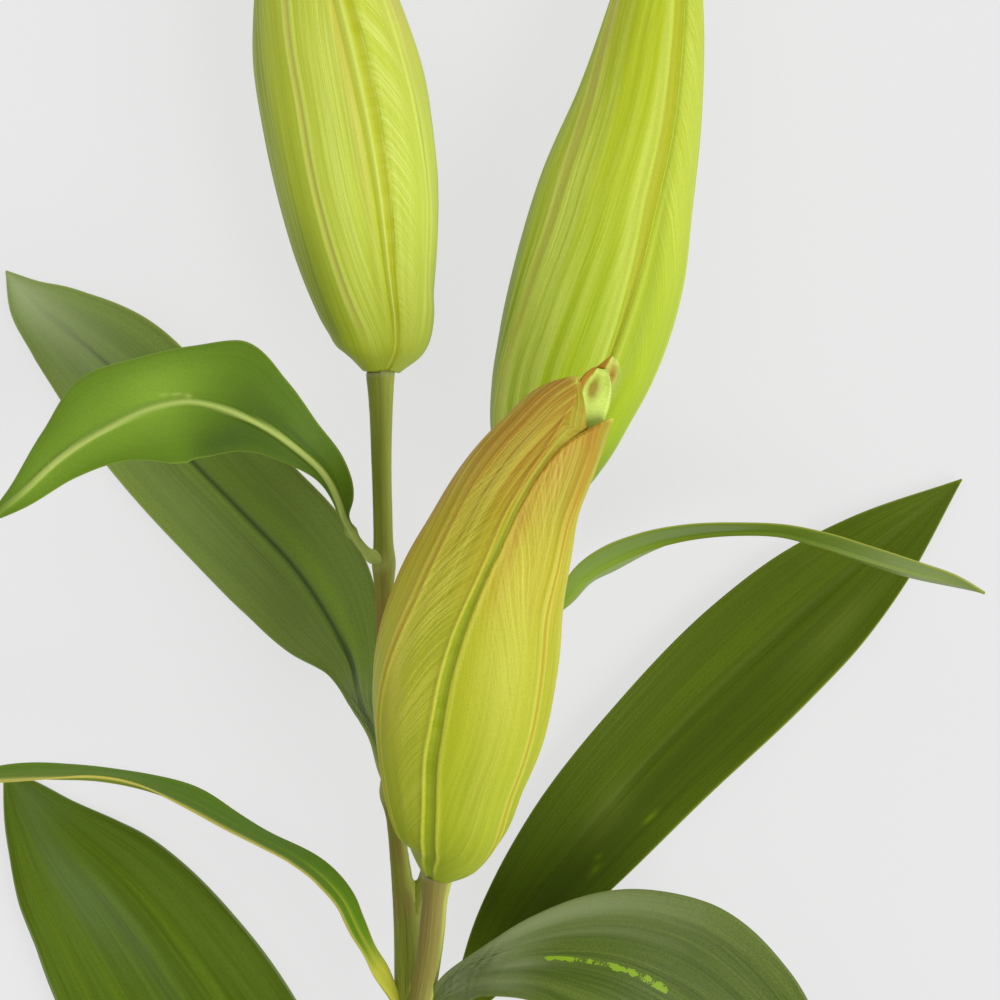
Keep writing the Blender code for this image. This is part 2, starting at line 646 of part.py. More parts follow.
def make_leaf(name, leaf, cutters, collection, material):
    count = LEAF_ROWS if len(leaf["rows"]) > 8 else SHORT_LEAF_ROWS
    rows, fractions = leaf_rows(leaf, count)
    points, walls = [], []
    directions = np.gradient(np.asarray(rows)[:, :3], axis=0)
    for row, direction, fraction in zip(rows, directions, fractions):
        along = Vector(direction).normalized()
        side = along.cross(Vector((0.0, 0.0, 1.0))).normalized()
        side.rotate(Matrix.Rotation(math.radians(row[4]), 3, along))
        top = side.cross(along)
        half = max(float(row[3]), 0.5)
        cup = leaf["cup"] * half * min(1.0, fraction / 0.2)
        foot = max(0.0, 1.0 - fraction / 0.16)
        rib = RIB + (BLADE - RIB) * fraction
        middle = rib + (FOOT_THICKNESS - rib) * foot
        edge = BLADE + (0.5 * FOOT_THICKNESS - BLADE) * foot
        lift = 0.5 * middle * foot
        points.append([
            Vector(row[:3]) + u * half * side + (cup * u * u + lift) * top for u in LEAF_COLUMNS
        ])
        walls.append([edge + (middle - edge) * share for share in RIB_SHARES])
    obj = blade(name, points, walls, -1.0, collection, material)
    trim = obj.modifiers.new("foot", "BOOLEAN")
    trim.operation = "DIFFERENCE"
    trim.operand_type = "COLLECTION"
    trim.collection = cutters
    trim.solver = "EXACT"
    return obj


def build():
    remove_scene_objects()
    parts = new_collection("tiger_lily")
    cutters = new_collection("cutters")
    materials = {
        "stem": make_material("stem", STEM_GREEN, 0.55),
        "leaf": make_material("leaf", LEAF_GREEN, 0.42),
        "leaf_underside": make_material("leaf_underside", LEAF_UNDERSIDE, 0.5),
        "outer_tepal": make_material("outer_tepal", BUD_LIME, 0.5),
        "ripe_tepal": make_material("ripe_tepal", RIPE_LIME, 0.5),
        "inner_tepal": make_material("inner_tepal", SEAM_GREEN, 0.5),
        "pistil": make_material("pistil", PISTIL_GREEN, 0.5),
    }
    pieces = [make_stem(parts, materials["stem"])]
    stem_cutters(cutters)
    for name, leaf in LEAVES.items():
        underside_up = leaf["rows"][-1][4] == 180
        material = materials["leaf_underside" if underside_up else "leaf"]
        pieces.append(make_leaf(name, leaf, cutters, parts, material))
    for name, spec in BUDS.items():
        pieces += make_bud(name, spec, parts, materials)
    holder = bpy.data.objects.new("tiger_lily", None)
    holder.location = [-part * MM for part in ORIGIN]
    parts.objects.link(holder)
    for obj in pieces + list(cutters.objects):
        obj.parent = holder
    bpy.context.view_layer.update()


build()
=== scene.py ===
import math

import bmesh
import bpy
import numpy as np
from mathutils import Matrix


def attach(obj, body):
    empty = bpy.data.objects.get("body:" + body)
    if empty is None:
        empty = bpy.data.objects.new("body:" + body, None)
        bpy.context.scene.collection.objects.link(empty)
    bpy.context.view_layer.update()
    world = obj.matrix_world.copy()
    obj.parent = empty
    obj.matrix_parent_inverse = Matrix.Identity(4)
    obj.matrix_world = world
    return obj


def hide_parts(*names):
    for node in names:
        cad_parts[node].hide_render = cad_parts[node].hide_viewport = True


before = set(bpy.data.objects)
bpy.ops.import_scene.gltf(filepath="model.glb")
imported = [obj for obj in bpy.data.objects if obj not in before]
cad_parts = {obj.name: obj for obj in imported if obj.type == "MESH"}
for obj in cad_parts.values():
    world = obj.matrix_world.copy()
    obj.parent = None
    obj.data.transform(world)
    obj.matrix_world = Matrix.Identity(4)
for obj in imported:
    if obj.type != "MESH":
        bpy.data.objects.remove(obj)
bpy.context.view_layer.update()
print("frame loaded:", len(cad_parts), "nodes")

mm = 0.001
modelOrigin = np.array((4.43, -5.95, 0.0))  # in the stem's own millimetres, which every route below uses
upwards = np.array((0.0, 0.0, 1.0))


def unit(vectors):
    return vectors / np.linalg.norm(vectors, axis=-1, keepdims=True)


def hump(distance, width):
    return np.exp(-((distance / width) ** 2))


def fade(low, high, values):
    share = np.clip((values - low) / (high - low), 0, 1)
    return share * share * (3 - 2 * share)


def vectors(x, y, z):
    return np.stack(np.broadcast_arrays(x, y, z), -1)


def smoothThrough(knots, values, places):
    # a smooth curve that passes through every knot
    knots = np.asarray(knots, float)
    values = np.asarray(values, float)
    places = np.clip(np.asarray(places, float), knots[0], knots[-1])
    slopes = np.gradient(values, knots, axis=0)
    index = np.clip(np.searchsorted(knots, places, side="right") - 1, 0, len(knots) - 2)
    span = knots[index + 1] - knots[index]
    share = (places - knots[index]) / span
    if values.ndim > 1:
        share, span = share[:, None], span[:, None]
    return (
        (2 * share**3 - 3 * share**2 + 1) * values[index]
        + (share**3 - 2 * share**2 + share) * span * slopes[index]
        + (3 * share**2 - 2 * share**3) * values[index + 1]
        + (share**3 - share**2) * span * slopes[index + 1]
    )


def runningLength(points):
    steps = np.linalg.norm(np.diff(points[:, :3], axis=0), axis=1)
    return np.concatenate([[0], np.cumsum(steps)])


def rippleNoise(values, seed, terms=5):
    # slow irregular waviness made of a few sines, between about -1 and 1
    source = np.random.default_rng(seed)
    total = np.zeros_like(values)
    for _ in range(terms):
        total = total + np.sin(values * source.uniform(0.6, 2.6) + source.uniform(0, 6.28))
    return total / math.sqrt(terms)


def spotSum(spots, along, turns):
    total = np.zeros_like(turns)
    for place, turn, placeWidth, turnWidth, strength in spots:
        total = total + strength * hump(along - place, placeWidth) * hump(turns - turn, turnWidth)
    return np.clip(total, 0, 1)


def addObject(name, data):
    thing = bpy.data.objects.new(name, data)
    bpy.context.scene.collection.objects.link(thing)
    return thing


def dress(name, mesh, layers, material, nodeName):
    # a finished mesh becomes the visible form of one node
    for layerName, values in layers.items():
        layer = mesh.attributes.new(layerName, "FLOAT_VECTOR", "POINT")
        layer.data.foreach_set("vector", np.asarray(values, np.float32).ravel())
    mesh.shade_smooth()
    mesh.materials.clear()
    mesh.materials.append(material)
    piece = addObject(name, mesh)
    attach(piece, "root")
    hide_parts(nodeName)


def shell(name, front, back, layers, material, nodeName):
    # a closed thin piece from two nets of points, joined round the rim
    rows, columns = front.shape[:2]
    count = rows * columns
    corners = (np.concatenate([front.reshape(-1, 3), back.reshape(-1, 3)]) - modelOrigin) * mm
    grid = np.arange(count).reshape(rows, columns)
    quads = np.stack([grid[:-1, :-1], grid[:-1, 1:], grid[1:, 1:], grid[1:, :-1]], -1).reshape(-1, 4)
    loop = np.concatenate([grid[0, :-1], grid[:-1, -1], grid[-1, :0:-1], grid[:0:-1, 0]])
    after = np.roll(loop, -1)
    rim = np.stack([loop, after, after + count, loop + count], -1)
    faces = np.concatenate([quads, quads[:, ::-1] + count, rim[:, ::-1]])
    mesh = bpy.data.meshes.new(name)
    mesh.from_pydata(corners.tolist(), [], faces.tolist())
    editor = bmesh.new()
    editor.from_mesh(mesh)
    bmesh.ops.recalc_face_normals(editor, faces=editor.faces)
    editor.to_mesh(mesh)
    editor.free()
    both = {key: np.concatenate([part.reshape(-1, 3) for part in pair]) for key, pair in layers.items()}
    dress(name, mesh, both, material, nodeName)


def addNode(tree, kind, inputs=(), **settings):
    node = tree.nodes.new("ShaderNode" + kind)
    for key, value in settings.items():
        setattr(node, key, value)
    for key, value in inputs.items() if isinstance(inputs, dict) else enumerate(inputs):
        if isinstance(value, bpy.types.NodeSocket):
            tree.links.new(value, node.inputs[key])
        else:
            node.inputs[key].default_value = value
    return node


def maths(tree, operation, *values):
    return addNode(tree, "Math", values, operation=operation).outputs[0]


def times(tree, first, second):
    return maths(tree, "MULTIPLY", first, second)


def scaled(tree, value, factor, offset):
    return maths(tree, "MULTIPLY_ADD", value, factor, offset)


def mixColors(tree, factor, first, second):
    return addNode(tree, "Mix", {0: factor, 6: first, 7: second}, data_type="RGBA").outputs[2]


def painted(tree, color, coats):
    # lays coats over a colour: each has a mask, the share of it that counts and a colour of its own
    for mask, share, coat in coats:
        color = mixColors(tree, times(tree, mask, share), color, coat)
    return color


def softStep(tree, value, low, high):
    return addNode(tree, "MapRange", (value, low, high), interpolation_type="SMOOTHSTEP").outputs["Result"]


def pointOf(tree, x, y, z):
    return addNode(tree, "CombineXYZ", (x, y, z)).outputs[0]


def noiseAt(tree, place, scale, detail, roughness=0.5):
    inputs = {"Vector": place, "Scale": scale, "Detail": detail, "Roughness": roughness}
    return addNode(tree, "TexNoise", inputs).outputs["Fac"]


def colorRamp(tree, factor, stops):
    node = addNode(tree, "ValToRGB", {"Fac": factor})
    node.color_ramp.interpolation = "EASE"
    elements = node.color_ramp.elements
    while len(elements) < len(stops):
        elements.new(0.5)
    for element, (place, color) in zip(elements, stops):
        element.position = place
        element.color = color
    return node.outputs["Color"]


def toned(color, tone=(1, 1, 1)):
    # a colour as a screen shows it, from 0 to 255, as light, and warmer, cooler or darker by its tone
    shares = [part / 255 for part in color]
    light = [share / 12.92 if share <= 0.04045 else ((share + 0.055) / 1.055) ** 2.4 for share in shares]
    return (*(part * factor for part, factor in zip(light, tone)), 1)


def readLayer(tree, name):
    layer = addNode(tree, "Attribute", attribute_name=name).outputs["Vector"]
    return tuple(addNode(tree, "SeparateXYZ", (layer,)).outputs)


def newMaterial(name, roughness, specular):
    material = bpy.data.materials.new(name)
    material.use_nodes = True
    shader = material.node_tree.nodes["Principled BSDF"]
    shader.inputs["Roughness"].default_value = roughness
    shader.inputs["Specular IOR Level"].default_value = specular
    return material, material.node_tree, shader


def finishMaterial(tree, shader, color, height, distance, strength):
    tree.links.new(color, shader.inputs["Base Color"])
    bump = addNode(tree, "Bump", {"Height": height, "Distance": distance, "Strength": strength})
    tree.links.new(bump.outputs["Normal"], shader.inputs["Normal"])


def newGroup(name, inputs, outputs):
    group = bpy.data.node_groups.new(name, "ShaderNodeTree")
    for direction, names in (("INPUT", inputs), ("OUTPUT", outputs)):
        for socketName in names:
            group.interface.new_socket(socketName, in_out=direction, socket_type="NodeSocketFloat")
    return group, group.nodes.new("NodeGroupInput").outputs, group.nodes.new("NodeGroupOutput").inputs


def makeStreakGroup():
    # fine lines that run along a leaf, tepal or stem, as a value from 0 to 1
    names = ("Across", "Along", "Lines", "Stretch", "Seed")
    group, given, result = newGroup("fineStreaks", names, ("Streaks", "Broad"))
    across = times(group, given["Across"], given["Lines"])
    along = times(group, given["Along"], given["Stretch"])
    place = pointOf(group, across, along, given["Seed"])
    wide = addNode(group, "VectorMath", (place, (0.22, 0.6, 1)), operation="MULTIPLY").outputs[0]
    fine, broad = noiseAt(group, place, 1, 3, 0.62), noiseAt(group, wide, 1, 2)
    group.links.new(softStep(group, fine, 0.36, 0.66), result["Streaks"])
    group.links.new(softStep(group, broad, 0.32, 0.68), result["Broad"])
    return group


def makeSpeckGroup():
    # small dots and soft clouds on a surface measured in millimetres
    group, given, result = newGroup("fineSpecks", ("Across", "Along", "Seed"), ("Specks", "Clouds"))
    place = pointOf(group, given["Across"], given["Along"], given["Seed"])
    dots, soft = noiseAt(group, place, 2.6, 3, 0.6), noiseAt(group, place, 0.45, 3, 0.55)
    group.links.new(softStep(group, dots, 0.44, 0.66), result["Specks"])
    group.links.new(softStep(group, soft, 0.35, 0.65), result["Clouds"])
    return group


streakGroup = makeStreakGroup()
speckGroup = makeSpeckGroup()


def useGroup(tree, group, *values):
    return tuple(addNode(tree, "Group", values, node_tree=group).outputs)


print("material tools ready")

# In mm and degrees. Rows are x, y, z and radius from a bud's foot to its tip. Places along it run from 0 to 1,
# and turns about its axis start on top. Seams, half widths, midribs and margins are pairs of a place and a value.
# A tip narrows from start to end and flares. A hood's rows are a place, left rim, middle and right rim. Lobes are
# set back and swell at the foot. Strip ridges and grooves are share across, width and height. The edge by a seam
# drops so far, over such a width. Spots are place, turn, their widths and the strength. Colours run to 255.
# The olive spots on the left flanks are partly the buds' own olive and partly painted shade on the side away from the
# light.
leftBud = {
    "name": "left_bud", "tips": {},
    "rows": (
        (-5.1, 113.3, 15, 3.3), (-5, 115, 15, 5), (-4.9, 117.1, 15.1, 7.1), (-5.4, 121.7, 15.1, 9.2),
        (-6.2, 126.2, 15.2, 10.7), (-8.8, 144.3, 15.25, 14.3), (-11, 158, 15.25, 15.2), (-13.6, 171.4, 15.25, 14.6),
        (-15.4, 180.4, 15, 12.9), (-17.3, 189.5, 14.6, 10.5), (-20.7, 207.7, 13.8, 5.3), (-22.2, 215.9, 13.4, 2.9),
        (-23.1, 222, 13, 1.3),
    ),
    "seam": ((0, 24), (0.12, 20), (0.3, 18), (0.6, 16), (1, 16)),
    "seamHalfWidths": (
        (0, 0.5), (0.1, 0.9), (0.3, 1.7), (0.55, 2), (0.8, 1.1), (0.88, 0.5), (0.915, 0.06), (1, 0.03),
    ),
    "midribs": {
        "left": ((0, -14), (0.11, -23), (0.2, -28), (0.5, -30), (1, -30)),
        "right": ((0, 64), (0.28, 62), (0.4, 58), (1, 58)),
    },
    "midribHeights": {"left": 0.15, "right": 0.08, "back": 0.15},
    "marginHeights": {"left": 0.08, "right": 0.1, "back": 0.1},
    "midribWidth": 0.36, "edge": (0.2, 1.1), "streaks": 1.9, "specks": 0.06, "seed": 3, "stripEnd": 0.92,
    "lobes": {"left": (0.7, 0.2), "right": (0.1, 1.1), "back": (0.6, 0)},
    "stripRidges": ((-0.35, 0.3, 0.42),), "stripGrooves": ((0.55, 0.36, 0.35), (-1, 0.16, 0.15)),
    "tone": (0.84, 0.845, 0.22), "softTone": (0.94, 0.93, 0.64),
    "colors": {
        "along": ((0, 178, 194, 56), (0.3, 188, 204, 70), (0.6, 196, 208, 86), (1, 190, 192, 92)),
        "strip": (190, 196, 60), "olive": (134, 152, 38), "blush": (204, 170, 112), "pale": (218, 230, 142),
        "groove": (208, 186, 124), "stripGroove": (172, 174, 30), "inner": (206, 220, 120),
    },
    "spots": {
        "olive": (
            (0.1, -60, 0.05, 13, 0.55), (0.48, -76, 0.4, 24, 0.95), (0.16, -58, 0.12, 22, 0.7),
            (0.35, 59, 0.2, 2.2, 0.45), (0.1, -30, 0.1, 8, 0.25),
        ),
        "blush": ((0.62, 64, 0.14, 14, 0.6), (0.5, 7, 0.3, 4, 0.45)),
        "fine": ((0.45, -8, 0.4, 15, 1), (0.5, -70, 0.4, 30, 0.55), (0.55, 60, 0.3, 26, 0.5)),
        "feather": ((0.42, 34, 0.3, 13, 1),), "pale": ((0.2, 60, 0.3, 30, 0.35), (0.35, -8, 0.3, 12, 0.25)),
    },
}
rightBud = {
    "name": "right_bud", "tips": {},
    "rows": (
        (22.9, 88, 14.6, 3.3), (23.5, 90.2, 14.7, 5.5), (24.3, 94.5, 14.8, 8.3), (25.3, 99, 14.9, 10.5),
        (27.8, 108.1, 15.1, 13.1), (30.8, 117.1, 15.14, 14.7), (34.4, 130.6, 15.14, 15.3), (37.4, 144.3, 15.14, 14.2),
        (42, 162.4, 15.1, 11.3), (45.1, 180.5, 14.8, 8.3), (46.8, 198.6, 14, 4.7), (47.7, 211, 13.3, 1.3),
    ),
    "seam": ((0, 22), (0.28, 23), (0.45, 27), (0.55, 29.5), (0.7, 29), (1, 28)),
    "seamHalfWidths": (
        (0, 0.3), (0.25, 0.4), (0.36, 0.7), (0.45, 1), (0.55, 1.1), (0.7, 0.95), (0.84, 0.6), (0.915, 0.06),
        (1, 0.03),
    ),
    "midribs": {
        "left": ((0, -60), (0.14, -60), (0.3, -50), (0.43, -44), (0.52, -46), (0.61, -52), (0.71, -62), (1, -62)),
        "right": ((0, 84), (1, 84)),
    },
    "midribHeights": {"left": 0.14, "right": 0.1, "back": 0.15},
    "marginHeights": {"left": 0.42, "right": 0.2, "back": 0.1},
    "midribWidth": 0.9, "edge": (0.22, 0.9), "streaks": 1.15, "specks": 0.1, "seed": 11, "stripEnd": 0.92,
    "lobes": {"left": (0.8, 0.2), "right": (0.8, 0.2), "back": (0.6, 0)},
    "stripRidges": ((0.95, 0.2, 0.26),), "stripGrooves": ((0.1, 0.3, 0.16),),
    "tone": (0.82, 0.84, 0.08), "softTone": (0.9, 0.9, 0.5),
    "colors": {
        "along": (
            (0, 146, 182, 30), (0.25, 174, 196, 46), (0.5, 186, 200, 58), (0.8, 186, 198, 66), (1, 180, 190, 66),
        ),
        "strip": (180, 186, 56), "olive": (136, 154, 14), "blush": (190, 176, 108), "pale": (214, 228, 136),
        "groove": (188, 180, 112), "stripGroove": (192, 176, 92), "inner": (206, 220, 120),
    },
    "spots": {
        "olive": (
            (0.18, -78, 0.2, 26, 0.95), (0.55, -88, 0.4, 18, 0.6), (0.5, 38, 0.4, 5, 0.4), (0.3, 0, 0.2, 30, 0.15),
        ),
        "blush": ((0.7, -56, 0.14, 7, 0.8), (0.55, -48, 0.14, 4, 0.6), (0.6, 25, 0.35, 3.5, 0.5)),
        "fine": ((0.45, -40, 0.35, 26, 1), (0.5, 0, 0.5, 16, 0.35), (0.15, -50, 0.2, 30, 0.7)),
        "feather": ((0.62, 50, 0.3, 12, 1),),
        "pale": ((0.6, 66, 0.3, 16, 0.25), (0.4, -36, 0.18, 12, 0.35), (0.55, 14, 0.4, 4.5, 0.55)),
    },
}
frontBud = {
    "name": "front_bud",
    "tips": {
        "left": {
            "start": 0.76, "end": 0.962, "turn": -34, "power": 3.2, "flare": 0,
            "margin": ((0.78, 2.5), (0.84, 5.5), (0.9, 7), (0.935, 2), (0.962, -34)),
        },
        "right": {
            "start": 0.6, "end": 0.945, "turn": 78, "power": 2.2, "flare": 3.2,
            "margin": ((0.66, 3), (0.74, 7), (0.8, 10.5), (0.845, 18), (0.875, 31), (0.9, 47), (0.945, 76)),
        },
    },
    "rows": (
        (5.4, 23.6, 29.1, 3.3), (6, 25.5, 30, 5.2), (7, 28.6, 31.4, 7.5), (7.5, 32.3, 33, 10), (8.2, 41.3, 36, 13),
        (9.4, 50.2, 38.5, 15.2), (10.8, 62, 41.3, 16.2), (12.9, 72.4, 43, 15.1), (15.9, 81.2, 44.6, 13.4),
        (19.2, 90, 46, 11.4), (25, 100.5, 47.4, 8.5), (27.9, 105.4, 48, 6.6), (31.2, 109.6, 48.6, 4.2),
        (34.6, 113.1, 49, 1.5),
    ),
    "seam": (
        (0, -18), (0.13, -17.5), (0.2, -15.5), (0.28, -15.3), (0.36, -13), (0.47, -8), (0.55, -3.5), (0.66, 0),
        (0.78, 6), (1, 12),
    ),
    "seamHalfWidths": (
        (0, 0.6), (0.07, 0.85), (0.2, 0.9), (0.28, 0.95), (0.36, 0.8), (0.47, 0.75), (0.57, 0.5), (0.7, 0.55),
        (0.78, 0.65), (0.9, 0.6), (1, 0.2),
    ),
    "frontTip": {"end": 0.958, "margin": ((0.885, 54), (0.91, 40), (0.935, 20), (0.958, -22))},
    "hoods": {
        "outer_back": {
            "start": 0.76,
            "rows": (
                (0.86, (22.6, 105.4, 46), (28.8, 100.8, 45.2), (33, 99.9, 44.6)),
                (0.9, (27, 108.6, 47), (31.6, 104.4, 45.4), (34.7, 103.6, 44.8)),
                (0.95, (31.5, 111.6, 49), (34.8, 109.8, 46.6), (37, 109.9, 46.6)),
                (0.98, (34.4, 114, 50.2), (36.2, 112.4, 47.8), (37.7, 112.6, 48)),
                (1, (36, 115.3, 50.3), (36.5, 114.9, 49.9), (37.1, 114.4, 49.7)),
            ),
        },
        "inner_left": {
            "start": 0.76,
            "rows": (
                (0.84, (27.6, 104.5, 49.4), (31, 102, 49.4), (34.2, 101, 48.2)),
                (0.88, (29.3, 108.2, 50.4), (31.8, 105.8, 49), (35.1, 104.6, 47.6)),
                (0.92, (31, 111.5, 50.9), (32.9, 109.4, 48.2), (36, 108.4, 47.6)),
                (0.945, (32.4, 112.8, 50.9), (33.7, 111.4, 48.6), (35.9, 111, 48.6)),
                (0.96, (33.3, 113.2, 50.6), (34.1, 112.9, 50.2), (35.4, 112.8, 49.6)),
            ),
        },
    },
    "midribs": {
        "left": ((0, -66), (0.35, -63), (0.44, -53), (0.53, -45), (0.65, -45), (0.85, -44), (1, -40)),
        "right": ((0, 56), (0.4, 55), (0.57, 57), (0.77, 64), (1, 70)),
    },
    "midribHeights": {"left": 0.24, "right": 0.14, "back": 0.15},
    "marginHeights": {"left": 0.42, "right": 0.42, "back": 0.1},
    "midribWidth": 0.36, "edge": (0.34, 0.4), "streaks": 1.9, "specks": 0.16, "seed": 23, "stripEnd": 0.85,
    "lobes": {"left": (-0.6, 0.4), "right": (0.1, 0.8), "back": (0.2, 0)},
    "stripRidges": (), "stripGrooves": ((0, 0.8, 0.15),),
    "tone": (0.79, 0.83, 0.2), "softTone": (0.87, 0.86, 0.46),
    "colors": {
        "along": (
            (0, 156, 170, 46), (0.2, 176, 184, 60), (0.45, 184, 184, 50), (0.62, 190, 170, 36), (0.82, 180, 132, 34),
            (1, 164, 108, 40),
        ),
        "strip": (158, 176, 36), "olive": (136, 148, 30), "blush": (172, 106, 38), "pale": (222, 220, 116),
        "groove": (196, 140, 54), "stripGroove": (140, 162, 24), "inner": (214, 238, 146),
    },
    "spots": {
        "olive": (
            (0.2, -86, 0.25, 26, 0.55), (0.06, 0, 0.08, 60, 0.3), (0.2, 20, 0.09, 11, 0.4), (0.55, -20, 0.2, 8, 0.35),
            (0.87, 82, 0.1, 13, 0.75), (0.76, 45, 0.08, 10, 0.3),
        ),
        "blush": (
            (0.93, -44, 0.22, 42, 0.95), (0.68, -84, 0.25, 16, 0.8), (0.84, 25, 0.09, 8, 0.9),
            (0.9, 50, 0.04, 11, 0.9), (0.7, 11, 0.12, 6, 0.75), (0.45, -52, 0.16, 7, 0.45), (0.72, 84, 0.16, 4, 0.5),
        ),
        "fine": (
            (0.2, 22, 0.12, 16, 0.35), (0.85, -20, 0.3, 60, 0.8), (0.6, -80, 0.3, 18, 0.9), (0.6, 60, 0.3, 26, 0.6),
        ),
        "feather": ((0.52, -32, 0.32, 18, 1), (0.64, 26, 0.24, 15, 0.9)),
        "pale": (
            (0.5, 84, 0.5, 12, 0.7), (0.45, 30, 0.25, 24, 0.2), (0.42, -48, 0.12, 8, 0.4),
            (0.944, 76, 0.006, 16, 0.9), (0.958, -34, 0.008, 30, 0.7),
        ),
    },
}
tepalForm = {  # walls, the gap between the tepals and the tuck of a strip under its margins, in mm, and the nets
    "outerWall": 1, "innerWall": 0.7, "rimWall": 0.6, "tipWall": 0.5, "gap": 0.15, "tuck": 0.35,
    "tipNarrowing": 0.93, "twinSpacing": 0.44, "twinWidth": 0.4, "backEdge": (0.4, 0.5),
    "outerNet": (150, 26), "backNet": (90, 16), "stripNet": (150, 41), "hiddenNet": (80, 15), "tipRows": 12,
}
sixth = 60  # degrees from the middle of a tepal to the seam beside it
tepalLook = {  # the share of each mark, or a factor and an offset for a share that varies
    "ripe": (0.55, 0.85), "strip": (-0.55, 0.75), "oliveStreaks": (0.3, 0.12), "blushStreaks": (0.4, 0.6),
    "lines": (0.62, 0.06), "feather": 0.75, "ridge": 0.5, "groove": 0.55, "margin": 0.42,
    "bump": (0.00014, 0.6), "lineHeight": (0.6, 0.25), "length": 95,
}


def budAxis(bud, places):
    rows = np.asarray(bud["rows"], float)
    lengths = runningLength(rows)
    whole = lengths[-1]

    def at(shares):
        return smoothThrough(lengths, rows, np.clip(shares, 0, 1) * whole)

    here = at(places)
    direction = unit(at(places + 0.01)[:, :3] - at(places - 0.01)[:, :3])
    low, high = np.clip(places - 0.006, 0, 1), np.clip(places + 0.006, 0, 1)
    slope = (at(high)[:, 3] - at(low)[:, 3]) / ((high - low) * whole)
    up = unit(upwards - direction[:, 2:3] * direction)
    return {
        "centre": here[:, :3], "radius": here[:, 3], "direction": direction,
        "up": up, "right": np.cross(direction, up), "slope": slope, "length": whole,
    }


def budPoints(axis, depth, degrees, flare=0, setBack=0):
    scale = np.hypot(axis["slope"], 1)[:, None]
    reach = np.maximum(axis["radius"][:, None] - depth / scale + flare, 0.02)
    shift = depth * axis["slope"][:, None] / scale - setBack
    angle = np.radians(degrees)
    return (
        axis["centre"][:, None] + shift[..., None] * axis["direction"][:, None]
        + (reach * np.cos(angle))[..., None] * axis["up"][:, None]
        + (reach * np.sin(angle))[..., None] * axis["right"][:, None]
    )


def ownCurve(knots, places):
    knots = np.asarray(knots, float)
    return smoothThrough(knots[:, 0], knots[:, 1], places)[:, None]


def wallAt(places):
    rim, full = tepalForm["rimWall"], tepalForm["outerWall"]
    return np.interp(places, (0, 0.12, 0.85, 1), (rim, full, full, tepalForm["tipWall"]))[:, None]


def seamAt(bud, along, radius):
    # the turn of the front seam and half its width, in degrees
    half = np.degrees(ownCurve(bud["seamHalfWidths"], along) / np.maximum(radius, 1))
    return ownCurve(bud["seam"], along), half


def budMargins(bud, along, radius):
    # the turns at which the left and the right tepal end beside the front seam
    seam, half = seamAt(bud, along, radius)
    margins = []
    for side, turns in (("left", seam - half), ("right", seam + half)):
        knots = bud["tips"].get(side, {}).get("margin")
        if knots:
            share = fade(knots[0][0] - 0.06, knots[0][0] + 0.02, along)[:, None]
            turns = turns + (ownCurve(knots, along) - turns) * share
        margins.append(turns)
    return margins


def ledInto(points, hood, along, across, drop):
    # carries the end of a tepal over into an open, hooded tip
    knots = np.asarray([row[0] for row in hood["rows"]], float)
    share = fade(hood["start"], knots[0], along)[:, None, None]
    left, middle, right = (
        smoothThrough(knots, [row[k] for row in hood["rows"]], along)[:, None] for k in (1, 2, 3)
    )
    a = across[..., None]
    target = left * (0.5 * a * (a + 1)) + middle * (1 - a * a) + right * (0.5 * a * (a - 1))
    target = target - np.asarray(drop)[..., None] * np.array((0.25, -0.1, 1))
    return points + (target - points) * share


def texturesAt(bud, t, degrees):
    olive, blush, pale, fine, feather = (
        spotSum(bud["spots"][key], t, degrees) for key in ("olive", "blush", "pale", "fine", "feather")
    )
    return vectors(olive, blush, pale), vectors(fine, feather, 0)


